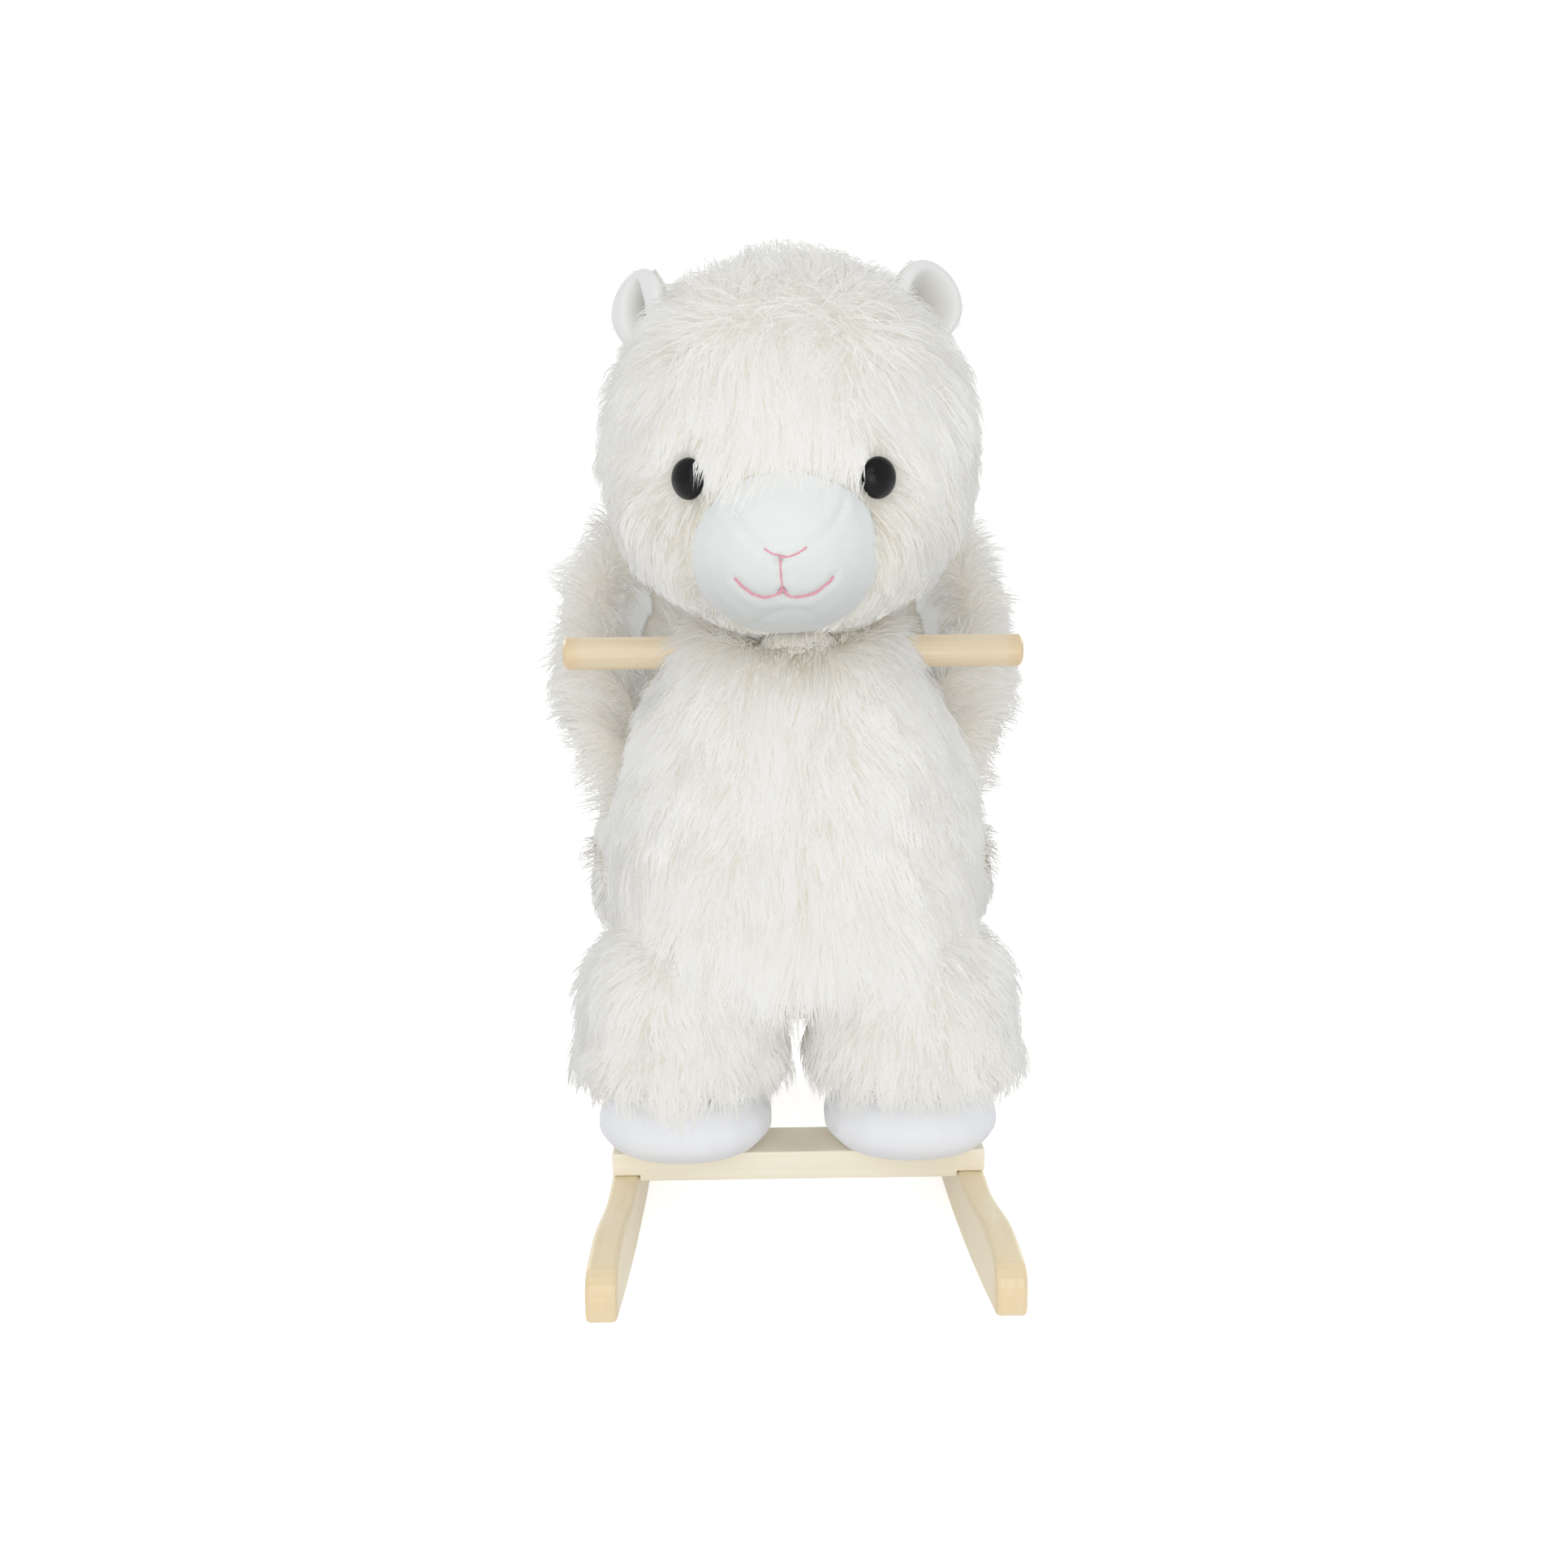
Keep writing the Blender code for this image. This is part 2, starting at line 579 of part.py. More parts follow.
def neck_board_mesh(grow=0.0):
    front = NECK_BOARD_FRONT - grow
    back = NECK_BOARD_FRONT + NECK_BOARD_DEPTH + grow
    bottom = DECK + GAP - grow
    top = DECK + GAP + NECK_BOARD_HEIGHT + grow
    outline = [(front, bottom), (back, bottom), (back, top - NECK_BOARD_CORNER),
               (back - NECK_BOARD_CORNER, top), (front + NECK_BOARD_CORNER, top),
               (front, top - NECK_BOARD_CORNER)]
    half = NECK_BOARD_THICKNESS / 2 + grow
    return extruded(outline, "YZ", -half, half)


def back_board_mesh(grow=0.0):
    half = BACK_BOARD_WIDTH / 2 + grow
    low = DECK - BACK_BOARD_LAP - grow
    high = DECK + BACK_BOARD_RISE + grow
    outline = cut_corners((-half, low), (half, high), BACK_BOARD_CORNER)
    return extruded(outline, "XZ", BACK_BOARD_FRONT - grow,
                    BACK_BOARD_FRONT + BACK_BOARD_THICKNESS + grow)


def handle_mesh(grow=0.0):
    radius = HANDLE_DIAMETER / 2 + grow
    half = HANDLE_LENGTH / 2
    profile = [(0.0, half), (radius - HANDLE_CHAMFER, half), (radius, half - HANDLE_CHAMFER),
               (radius, HANDLE_CHAMFER - half), (radius - HANDLE_CHAMFER, -half), (0.0, -half)]
    bm = turned(profile, 24)
    bmesh.ops.rotate(bm, verts=bm.verts, matrix=Matrix.Rotation(pi / 2, 3, "Y"))
    bmesh.ops.translate(bm, verts=bm.verts, vec=(0.0, HANDLE_Y, HANDLE_Z))
    return bm


def mesh_cutter(bm):
    return add_object("cutter", bm, MATERIALS["steel"])


def make_boards():
    ply = MATERIALS["plywood"]
    seat = add_object("seat_board", seat_board_mesh(), ply)
    holes = [fastener_hole(POST_SCREW, (x, y, DECK - HEAD_RECESS), (0, 0, -1)) for _, x, y in corners()]
    holes += [fastener_hole(BLOCK_SCREW, block_screw_place(sx), (0, 0, 1)) for _, sx in SIDES]
    holes += [fastener_hole(BACK_SCREW, back_screw_place(sx), (0, -1, 0)) for _, sx in SIDES]
    subtract(seat, *holes)

    neck = add_object("neck_board", neck_board_mesh(), ply)
    subtract(neck, mesh_cutter(handle_mesh(BORE_GAP)),
             fastener_hole(HANDLE_SCREW, handle_screw_place(), (0, 1, 0)))

    for side, sx in SIDES:
        block = add_object(f"neck_glue_block_{side}", box(*glue_block_box(sx)), MATERIALS["spruce"])
        subtract(block, fastener_hole(BLOCK_SCREW, block_screw_place(sx), (0, 0, 1)))
        fastener(f"glue_block_screw_{side}", BLOCK_SCREW, block_screw_place(sx), (0, 0, 1))

    back = add_object("seat_back_board", back_board_mesh(), ply)
    subtract(back, *[fastener_hole(BACK_SCREW, back_screw_place(sx), (0, -1, 0)) for _, sx in SIDES])
    for side, sx in SIDES:
        fastener(f"seat_back_screw_{side}", BACK_SCREW, back_screw_place(sx), (0, -1, 0))


def make_handle():
    handle = add_object("handle_dowel", handle_mesh(), MATERIALS["pine"])
    subtract(handle, fastener_hole(HANDLE_SCREW, handle_screw_place(), (0, 1, 0)))
    shade_round(handle)
    fastener("handle_screw", HANDLE_SCREW, handle_screw_place(), (0, 1, 0))


def frame_cutters():
    """Room in the stuffing for the posts and boards, all of it open to the posts' holes."""
    cutters = [box_cutter(*post_box(x, y), BORE_GAP) for _, x, y in corners()]
    cutters += [mesh_cutter(make(BORE_GAP)) for make in (seat_board_mesh, neck_board_mesh, back_board_mesh)]
    cutters += [box_cutter(*glue_block_box(sx), BORE_GAP) for _, sx in SIDES]
    return cutters


def head_turn():
    """The small turn of the face, eyes and ears about the head's upright axis."""
    axis = Matrix.Translation((HEAD_X, HEAD_Y, 0.0))
    return axis @ Matrix.Rotation(HEAD_TURN, 4, "Z") @ axis.inverted()


def eye_matrix(sx):
    """Place of an eye, whose own axis points up, where it looks out of the face."""
    forward = EYE_SEAT * cos(asin(EYE_X / EYE_SEAT))
    place = Matrix.Translation((HEAD_X + sx * EYE_X, HEAD_Y - forward, HEAD_Z + EYE_RISE))
    return head_turn() @ place @ Matrix.Rotation(sx * EYE_TURN, 4, "Z") @ Matrix.Rotation(pi / 2, 4, "X")


def eye_profile(grow):
    """Dome, rim and the start of the shank, from the front of the dome inwards."""
    radius = EYE_RADIUS + grow
    dome = [(radius * cos(a), EYE_RIM + (EYE_DOME + grow) * sin(a))
            for a in (radians(66), radians(44), radians(22), 0.0)]
    return [(0.0, EYE_RIM + EYE_DOME + grow), *dome, (radius, -grow), (EYE_SHANK_RADIUS + grow, -grow)]


def shank_end(grow):
    return [(EYE_SHANK_RADIUS + grow, -EYE_SHANK - grow), (0.0, -EYE_SHANK - grow)]


def eye_mesh():
    return turned(eye_profile(0.0) + shank_end(0.0), EYE_SIDES)


def eye_room_mesh():
    """Room in the stuffing for an eye with its washer."""
    shank = EYE_SHANK_RADIUS + GAP
    outer = WASHER_RADIUS + GAP
    top = -WASHER_DEPTH + GAP
    bottom = -WASHER_DEPTH - WASHER_THICKNESS - GAP
    washer = [(shank, top), (outer, top), (outer, bottom), (shank, bottom)]
    return turned(eye_profile(GAP) + washer + shank_end(GAP), EYE_SIDES)


def washer_mesh():
    """Fixing washer behind an eye: a flat ring with a hole for the shank."""
    top = -WASHER_DEPTH
    bottom = -WASHER_DEPTH - WASHER_THICKNESS
    outer = WASHER_RADIUS
    inner = EYE_SHANK_RADIUS + BORE_GAP
    bm = bmesh.new()
    loops = []
    for radius, z in ((inner, top), (outer, top), (outer, bottom), (inner, bottom)):
        loops.append([bm.verts.new(point) for point in circle(radius, z, EYE_SIDES)])
    for near, far in zip(loops, loops[1:] + loops[:1]):
        for k in range(EYE_SIDES):
            m = (k + 1) % EYE_SIDES
            bm.faces.new((near[k], near[m], far[m], far[k]))
    return bm


def placed_eye_part(name, bm, sx, material):
    obj = add_object(name, bm, material)
    obj.matrix_world = eye_matrix(sx)
    return obj


def eye_cutters():
    return [placed_eye_part("cutter", eye_room_mesh(), sx, MATERIALS["steel"]) for _, sx in SIDES]


def make_eyes():
    for side, sx in SIDES:
        shade_round(placed_eye_part(f"{side}_eye", eye_mesh(), sx, MATERIALS["black_plastic"]))
        placed_eye_part(f"{side}_eye_washer", washer_mesh(), sx, MATERIALS["white_plastic"])


def ear_matrix(sx):
    middle = (EAR_LOW + EAR_HIGH) / 2
    return (head_turn() @ Matrix.Translation((HEAD_X + sx * EAR_X, EAR_Y, middle))
            @ Matrix.Rotation(sx * EAR_TURN, 4, "Z") @ Matrix.Rotation(sx * EAR_LEAN, 4, "Y"))


def make_ears():
    half = (EAR_HIGH - EAR_LOW) / 2
    ear_form = Form("Z", -half, half, 0.0, (0.0,) * 3, (EAR_HALF_WIDTH, EAR_HALF_WIDTH, EAR_TIP_WIDTH),
                    (EAR_HALF_THICKNESS,) * 3, 2.2, 2.3, 8, 12)
    hollow = Form("Z", -half + EAR_RIM / 2, half - EAR_RIM, 0.0, (-EAR_HALF_THICKNESS,) * 3,
                  (EAR_HALF_WIDTH - EAR_RIM,) * 3, (EAR_CUP,) * 3, 2.0, 2.0, 6, 10)
    for side, sx in SIDES:
        ear = stuffed(f"{side}_ear", ear_form, MATERIALS["velour"])
        ear.matrix_world = ear_matrix(sx)
        scoop = form_cutter(hollow, grow=0.0)
        scoop.matrix_world = ear_matrix(sx)
        subtract(ear, scoop, form_cutter(HEAD))
        shade_round(ear, radians(50))


def make_plush():
    fur = MATERIALS["fur"]
    velour = MATERIALS["velour"]

    body = stuffed("body", BODY, fur)
    subtract(body, *frame_cutters())

    head = stuffed("head", HEAD, fur)
    subtract(head, mesh_cutter(neck_board_mesh(BORE_GAP)), *eye_cutters())

    chest = stuffed("chest_and_neck", CHEST, fur)
    subtract(chest, form_cutter(BODY), form_cutter(HEAD), mesh_cutter(handle_mesh(BORE_GAP)),
             *frame_cutters())

    muzzle = stuffed("muzzle", MUZZLE, velour)
    muzzle.matrix_world = head_turn()
    subtract(muzzle, form_cutter(HEAD), *eye_cutters())

    for corner, x, y in corners():
        leg = stuffed(f"{corner}_leg", LEG, fur, (x, y, 0.0))
        subtract(leg, form_cutter(BODY), form_cutter(CHEST), box_cutter(*post_box(x, y), BORE_GAP))
        foot = stuffed(f"{corner}_foot", FOOT, velour, (x, y, 0.0))
        half = CROSSBAR_DEPTH / 2
        bar = box_cutter((-BASE_WIDTH, y - half, 0.0), (BASE_WIDTH, y + half, CROSSBAR_TOP), GAP)
        subtract(foot, form_cutter(LEG, (x, y, 0.0)), bar, box_cutter(*post_box(x, y), BORE_GAP))

    wall = add_object("seat_back_padding", wall_mesh(), fur)
    subtract(wall, form_cutter(BODY), mesh_cutter(back_board_mesh(BORE_GAP)))

    cushion = stuffed("seat_cushion", CUSHION, velour)
    subtract(cushion, form_cutter(BODY), form_cutter(CHEST), mesh_cutter(wall_mesh(SEAM_GAP)),
             *frame_cutters())

    for obj in bpy.data.objects:
        if obj.type == "MESH" and obj.data.materials[0] in (fur, velour):
            shade_round(obj, radians(50))


clear_scene()
MATERIALS = {
    "pine": finish_material("pine", (0.88, 0.74, 0.52), 0.45),
    "spruce": finish_material("spruce", (0.80, 0.66, 0.45), 0.60),
    "plywood": finish_material("plywood", (0.76, 0.61, 0.42), 0.60),
    "steel": finish_material("steel", (0.55, 0.55, 0.56), 0.30, 1.0),
    "fur": finish_material("fur", (0.91, 0.89, 0.84), 0.95),
    "velour": finish_material("velour", (0.90, 0.91, 0.91), 0.85),
    "black_plastic": finish_material("black_plastic", (0.01, 0.01, 0.01), 0.05),
    "white_plastic": finish_material("white_plastic", (0.80, 0.80, 0.78), 0.40),
}
make_runners()
make_crossbars()
make_posts()
make_boards()
make_handle()
make_plush()
make_ears()
make_eyes()

toy = bpy.data.objects.new("rocking_alpaca", None)
bpy.context.scene.collection.objects.link(toy)
for part in [obj for obj in bpy.data.objects if obj.type == "MESH"]:
    part.parent = toy
print("pieces:", sum(obj.type == "MESH" for obj in bpy.data.objects))
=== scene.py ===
# %% [markdown]
# # A rocking alpaca, dressed round its frame
# The frame holds the toy's wood, its screws and a plain solid for each stuffed part, all at their real
# size and place. This script keeps the wood and steel and gives them materials. Each stuffed part gets
# a soft cover over its solid, and the covers get fur, velour, seams and stitches. Metres, +Z up, and
# the face looks along -Y. Left and right are as seen from the front.

# %% Load the frame
import json
from math import pi, radians

import bmesh
import bpy
import numpy as np
from mathutils import Matrix, Vector
from mathutils.bvhtree import BVHTree
from mathutils.kdtree import KDTree

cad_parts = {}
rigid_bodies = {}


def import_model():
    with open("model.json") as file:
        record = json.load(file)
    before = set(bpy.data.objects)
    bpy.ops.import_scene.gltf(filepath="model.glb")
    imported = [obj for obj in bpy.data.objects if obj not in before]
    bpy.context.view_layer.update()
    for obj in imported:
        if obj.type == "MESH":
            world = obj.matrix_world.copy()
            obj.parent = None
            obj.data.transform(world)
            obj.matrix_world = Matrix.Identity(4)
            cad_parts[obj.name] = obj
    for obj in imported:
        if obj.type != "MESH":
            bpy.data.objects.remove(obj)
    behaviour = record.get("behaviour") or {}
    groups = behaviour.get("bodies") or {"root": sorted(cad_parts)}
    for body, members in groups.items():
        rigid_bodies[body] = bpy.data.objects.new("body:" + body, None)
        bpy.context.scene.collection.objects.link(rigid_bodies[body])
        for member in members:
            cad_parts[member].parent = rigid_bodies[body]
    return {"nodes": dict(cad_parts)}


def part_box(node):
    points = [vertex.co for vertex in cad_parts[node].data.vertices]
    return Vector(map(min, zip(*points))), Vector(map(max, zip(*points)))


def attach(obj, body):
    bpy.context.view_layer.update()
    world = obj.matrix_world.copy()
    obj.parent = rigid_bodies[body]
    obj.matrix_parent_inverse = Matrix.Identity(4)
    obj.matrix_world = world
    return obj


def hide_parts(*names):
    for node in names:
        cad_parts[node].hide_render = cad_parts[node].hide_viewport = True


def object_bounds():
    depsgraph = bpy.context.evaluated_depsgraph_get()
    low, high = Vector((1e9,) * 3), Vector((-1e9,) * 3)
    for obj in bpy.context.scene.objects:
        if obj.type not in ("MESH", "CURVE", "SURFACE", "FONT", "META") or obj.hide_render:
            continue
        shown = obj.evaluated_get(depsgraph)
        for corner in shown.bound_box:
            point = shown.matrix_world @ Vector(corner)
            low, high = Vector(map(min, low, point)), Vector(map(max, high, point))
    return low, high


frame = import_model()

NODES = frame["nodes"]
cad_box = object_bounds()
SIDES = (("left", -1), ("right", 1))
LEGS = [f"{end}_{side}" for end in ("front", "rear") for side, _ in SIDES]
print("CAD nodes:", len(NODES), "box:", [tuple(round(v, 3) for v in corner) for corner in cad_box])

# %% [markdown]
# ## Camera
# The photograph was taken a little above the toy's back and less than a metre away, with a slightly
# wide lens. The camera looks down by twelve degrees. Its place and lens were found by matching the
# rockers' tips and the crossbar, which are straight and easy to measure.

# %% Camera
PHOTO_SIDE = 1932          # pixels
FOCAL_LENGTH = 1755        # pixels
SENSOR = 36.0              # millimetres
CAMERA_PLACE = (-0.024, -1.042, 0.508)
CAMERA_YAW = radians(-1.02)
CAMERA_PITCH = radians(-12.19)
CAMERA_ROLL = radians(-0.36)

bpy.ops.object.camera_add()
camera = bpy.context.object
camera.name = "photo_camera"
camera.data.sensor_width = SENSOR
camera.data.lens = SENSOR * FOCAL_LENGTH / PHOTO_SIDE
camera.matrix_world = (Matrix.Translation(CAMERA_PLACE) @ Matrix.Rotation(CAMERA_YAW, 4, "Z")
                       @ Matrix.Rotation(pi / 2 + CAMERA_PITCH, 4, "X")
                       @ Matrix.Rotation(CAMERA_ROLL, 4, "Z"))
bpy.context.scene.camera = camera
bpy.context.scene.view_settings.view_transform = "Standard"
print("lens:", round(camera.data.lens, 2), "mm")

# %% [markdown]
# ## Shader maths as Python
# A material's pattern is a sum of many small nodes, and wiring each by hand hides the idea. Here a
# `Tone` wraps one output socket, and arithmetic on it adds Math nodes, so that a pattern reads as a
# formula. A `Finish` is one material: `node` adds any other node, and `feed` links a pattern to the
# shader. Numbers that are the same all over are set on the shader's own sockets.

# %% Shader helpers
class Tone:
    """One output of a node. Arithmetic on it adds Math nodes to its material."""

    def __init__(self, finish, socket):
        self.finish = finish
        self.socket = socket

    def math(self, operation, *values):
        """Add a Math node that works on these values."""
        return self.finish.node("Math", {"operation": operation}, dict(enumerate(values)))

    def __add__(self, other):
        return self.math("ADD", self, other)

    def __mul__(self, other):
        return self.math("MULTIPLY", self, other)

    __radd__ = __add__
    __rmul__ = __mul__


class Finish:
    """One material round a Principled shader."""

    def __init__(self, name, **numbers):
        self.material = bpy.data.materials.new(name)
        self.material.use_nodes = True
        self.tree = self.material.node_tree
        self.shader = self.tree.nodes["Principled BSDF"]
        for socket, value in numbers.items():
            self.put(self.shader.inputs[socket.replace("_", " ").title().replace("Ior", "IOR")], value)

    def put(self, socket, value):
        """Link a tone to a socket, or set a number or a colour on it."""
        if isinstance(value, Tone):
            self.tree.links.new(value.socket, socket)
        elif isinstance(value, tuple) and socket.type == "RGBA":
            socket.default_value = (*value, 1.0)
        else:
            socket.default_value = value

    def node(self, kind, settings=None, sockets=None, output=0):
        """Add a node: its settings first, then the values or links of its sockets."""
        node = self.tree.nodes.new("ShaderNode" + kind)
        for name, value in (settings or {}).items():
            if name == "stops":
                for spare in range(2, len(value)):
                    node.color_ramp.elements.new(spare / len(value))
                for stop, (place, colour) in zip(node.color_ramp.elements, value):
                    stop.position = place
                    stop.color = (*colour, 1.0)
            else:
                setattr(node, name, value)
        for name, value in (sockets or {}).items():
            self.put(node.inputs[name], value)
        return Tone(self, node.outputs[output])

    def feed(self, socket, tone):
        """Link a pattern to one of the shader's sockets."""
        self.tree.links.new(tone.socket, self.shader.inputs[socket])

    def blend(self, share, first, second, mode="MIX"):
        """A mix of two colours."""
        settings = {"data_type": "RGBA", "blend_type": mode}
        return self.node("Mix", settings, {0: share, 6: first, 7: second}, output=2)

    def stretched(self, scale):
        """Object coordinates, scaled along each axis."""
        place = self.node("TexCoord", output=3)
        return self.node("Mapping", {}, {"Vector": place, "Scale": scale})

    def noise(self, place, scale, detail=2.0, roughness=0.5):
        """A noise of so many lumps per metre."""
        sockets = {"Vector": place, "Scale": scale, "Detail": detail, "Roughness": roughness}
        return self.node("TexNoise", {}, sockets)

    def bump(self, height, distance, strength):
        """Fine relief, as deep as the distance in metres."""
        self.feed("Normal", self.node("Bump", {}, {"Height": height, "Distance": distance,
                                                   "Strength": strength}))


print("shader helpers ready")

# %% [markdown]
# ## Floor and light
# The photograph has an even white background and soft light from all round, a little stronger from
# above and in front. The floor is a wide pale plane. To the camera and in reflections it adds a little
# light of its own, so that it shows white up to the toy's soft shadow, and the world shows plain white
# there. The toy itself is lit only by the world's softer light and the lamps.

# %% Floor, world and lamps
FLOOR_HALF = 6.0           # metres
FLOOR_GREY = (0.80, 0.80, 0.80)
FLOOR_GLOW = 0.66          # light of its own that the floor adds where it is seen
WORLD_LIGHT = 0.60
WORLD_TINT = (0.97, 0.985, 1.0)
WHITE = (1.0, 1.0, 1.0)

floor_finish = Finish("floor", base_color=FLOOR_GREY, roughness=0.9)
camera_ray, glossy_ray, through_ray = (floor_finish.node("LightPath", output=f"Is {kind} Ray")
                                       for kind in ("Camera", "Glossy", "Transmission"))
sight = camera_ray.math("MAXIMUM", camera_ray.math("MAXIMUM", camera_ray, glossy_ray), through_ray)
glow = floor_finish.node("Emission", {}, {"Color": WHITE, "Strength": sight * FLOOR_GLOW})
lit_floor = Tone(floor_finish, floor_finish.shader.outputs[0])
both = floor_finish.node("AddShader", {}, {0: lit_floor, 1: glow})
floor_finish.put(floor_finish.tree.nodes["Material Output"].inputs["Surface"], both)

bpy.ops.mesh.primitive_plane_add(size=2 * FLOOR_HALF)
floor = bpy.context.object
floor.name = "floor"
floor.data.materials.append(floor_finish.material)

world = bpy.data.worlds.new("studio")
world.use_nodes = True
bpy.context.scene.world = world
background = world.node_tree.nodes["Background"]
background.inputs["Color"].default_value = (*WORLD_TINT, 1.0)
background.inputs["Strength"].default_value = WORLD_LIGHT
white = world.node_tree.nodes.new("ShaderNodeBackground")
path = world.node_tree.nodes.new("ShaderNodeLightPath")
mix = world.node_tree.nodes.new("ShaderNodeMixShader")
mirrored, seen = (world.node_tree.nodes.new("ShaderNodeMath") for _ in range(2))
mirrored.operation = seen.operation = "MAXIMUM"
for start, end in ((path.outputs["Is Camera Ray"], mirrored.inputs[0]),
                   (path.outputs["Is Glossy Ray"], mirrored.inputs[1]),
                   (mirrored.outputs[0], seen.inputs[0]),
                   (path.outputs["Is Transmission Ray"], seen.inputs[1]),
                   (seen.outputs[0], mix.inputs["Fac"]),
                   (background.outputs[0], mix.inputs[1]),
                   (white.outputs[0], mix.inputs[2]),
                   (mix.outputs[0], world.node_tree.nodes["World Output"].inputs["Surface"])):
    world.node_tree.links.new(start, end)
white.inputs["Color"].default_value = (*WHITE, 1.0)

# Each lamp's name, its place, the height that it aims at, its side, its watts and its colour
LAMPS = (("front_lamp", (-0.30, -1.60, 0.90), 0.30, 1.6, 8.2, (1.0, 0.992, 0.98)),
         ("low_lamp", (0.25, -1.60, 0.25), 0.20, 1.0, 4.4, (1.0, 0.995, 0.99)),
         ("top_lamp", (0.1, 0.2, 2.4), 0.40, 1.6, 4.5, WHITE),
         ("left_back_lamp", (-1.9, 1.7, 1.3), 0.35, 1.4, 16.0, WHITE),
         ("right_back_lamp", (1.9, 1.7, 1.3), 0.35, 1.4, 16.0, WHITE))


def lamp(name, place, aim, size, power, colour):
    """A square soft lamp that looks at a point."""
    bpy.ops.object.light_add(type="AREA", location=place)
    obj = bpy.context.object
    obj.name = name
    obj.rotation_euler = (Vector(aim) - Vector(place)).to_track_quat("-Z", "Y").to_euler()
    obj.data.size = size
    obj.data.energy = power
    obj.data.color = colour


for name, place, aim_height, size, power, colour in LAMPS:
    lamp(name, place, (0, 0, aim_height), size, power, colour)

# %% [markdown]
# ## Wood and hardware
# The base and the handle are clear-lacquered pine. Its growth rings are long faint stripes along the
# board, so a noise is stretched along the grain: the rockers' grain runs front to back, the
# crossbars' and the handle's from side to side. The inner posts and boards are plainer versions of
# the same pattern, and the bolts are zinc-plated steel.

# %% Wood and steel materials
PLAIN = (1.0, 1.0, 1.0)    # Object coordinates as they are
GRAIN_STRETCH = 0.045      # scale of the grain's noise along the board, as a share of that across it
GRAIN_LINES = 230.0        # per metre
END_GRAIN = (0.70, 0.50, 0.26)
END_SHARE = 0.45           # share of the end grain's colour at a board's ends


def wood(name, grain_axis, pale, dark, roughness, ends=None):
    """Wood whose grain runs along one axis: 0 for X, 1 for Y or 2 for Z. Its ends may be darker."""
    finish = Finish(name, roughness=roughness, coat_weight=0.12, coat_roughness=0.35)
    scale = [1.0, 1.0, 1.0]
    scale[grain_axis] = GRAIN_STRETCH
    place = finish.stretched(tuple(scale))
    rings = finish.noise(place, GRAIN_LINES, 3.0, 0.55)
    broad = finish.noise(place, GRAIN_LINES / 7, 2.0)
    fleck = finish.noise(place, GRAIN_LINES * 5, 1.0)
    shade = rings * 0.55 + broad * 0.35 + fleck * 0.12
    halfway = tuple((p + d) / 2 for p, d in zip(pale, dark))
    ramp = finish.node("ValToRGB", {"stops": [(0.36, pale), (0.50, halfway), (0.68, dark)]}, {"Fac": shade})
    if ends:
        from_middle = finish.node("SeparateXYZ", {}, {"Vector": finish.stretched(PLAIN)}, grain_axis)
        towards_end = finish.node("MapRange", {"interpolation_type": "SMOOTHSTEP"},
                                  {"Value": from_middle.math("ABSOLUTE", from_middle),
                                   "From Min": ends[0], "From Max": ends[1]})
        ramp = finish.blend(towards_end * END_SHARE, ramp, END_GRAIN)
    finish.feed("Base Color", ramp)
    finish.feed("Roughness", rings * 0.12 + (roughness - 0.06))
    finish.bump(rings, 0.0002, 0.5)
    return finish.material


# Two close colours and the roughness of each wood, and how far from the middle its darker ends start
# and are full, in metres
pine_across = wood("pine_across", 0, (0.92, 0.86, 0.72), (0.87, 0.79, 0.62), 0.42)
pine_along = wood("pine_along", 1, (0.86, 0.76, 0.55), (0.81, 0.68, 0.45), 0.42, ends=(0.302, 0.318))
pine_handle = wood("pine_handle", 0, (0.78, 0.67, 0.475), (0.725, 0.59, 0.405), 0.38,
                   ends=(0.140, 0.150))
spruce = wood("spruce", 2, (0.74, 0.58, 0.37), (0.62, 0.44, 0.25), 0.65)
plywood = wood("plywood", 0, (0.72, 0.56, 0.36), (0.60, 0.43, 0.26), 0.6)

steel_finish = Finish("steel", base_color=(0.55, 0.55, 0.56), metallic=1.0)
brush = steel_finish.noise(steel_finish.stretched(PLAIN), 900.0, 2.0)
steel_finish.feed("Roughness", brush * 0.25 + 0.22)
washer_finish = Finish("washer_plastic", roughness=0.45)
cloud = washer_finish.noise(washer_finish.stretched(PLAIN), 400.0, 1.0)
washer_finish.feed("Base Color", washer_finish.blend(cloud, (0.78, 0.78, 0.75), (0.84, 0.84, 0.82)))

steel = steel_finish.material
HARD_FINISHES = (("_runner", pine_along), ("crossbar", pine_across), ("handle_dowel", pine_handle),
                 ("_leg_post", spruce), ("glue_block_left", spruce), ("glue_block_right", spruce),
                 ("_board", plywood), ("_washer", washer_finish.material), ("_bolt", steel),
                 ("_screw", steel), ("_screw_left", steel), ("_screw_right", steel))
for name, node in NODES.items():
    for ending, material in HARD_FINISHES:
        if name.endswith(ending):
            node.material_slots[0].material = material
hard_endings = tuple(ending for ending, _ in HARD_FINISHES)
print("hard nodes finished:", sum(name.endswith(hard_endings) for name in NODES))

# %% [markdown]
# ## Cloth materials
# Velour is a knit with a very short upright pile: matt, slightly cool, with a soft sheen at grazing
# angles and faint clouds where the pile lies another way. The fur's colour changes along each lock,
# from a darker yellowish root to a nearly white tip, and a little from lock to lock. Both come from
# the locks' own map: across it lies the lock's tone, and up it the height along the lock. The velour
# has painted shade too: the muzzle is painted darker towards its bottom, and an ear's hollow is
# painted darker by an attribute that the ear's mesh carries.

# %% Velour and the fur's backing
# painted shade: the colour that the muzzle's lower part is darkened towards
PAINTED_LOW_SHADE = (0.20, 0.19, 0.19)
# painted shade: the colour that an ear's hollow is darkened towards
PAINTED_HOLLOW_SHADE = (0.42, 0.39, 0.34)
VELOUR_RELIEF = 0.00045    # metres


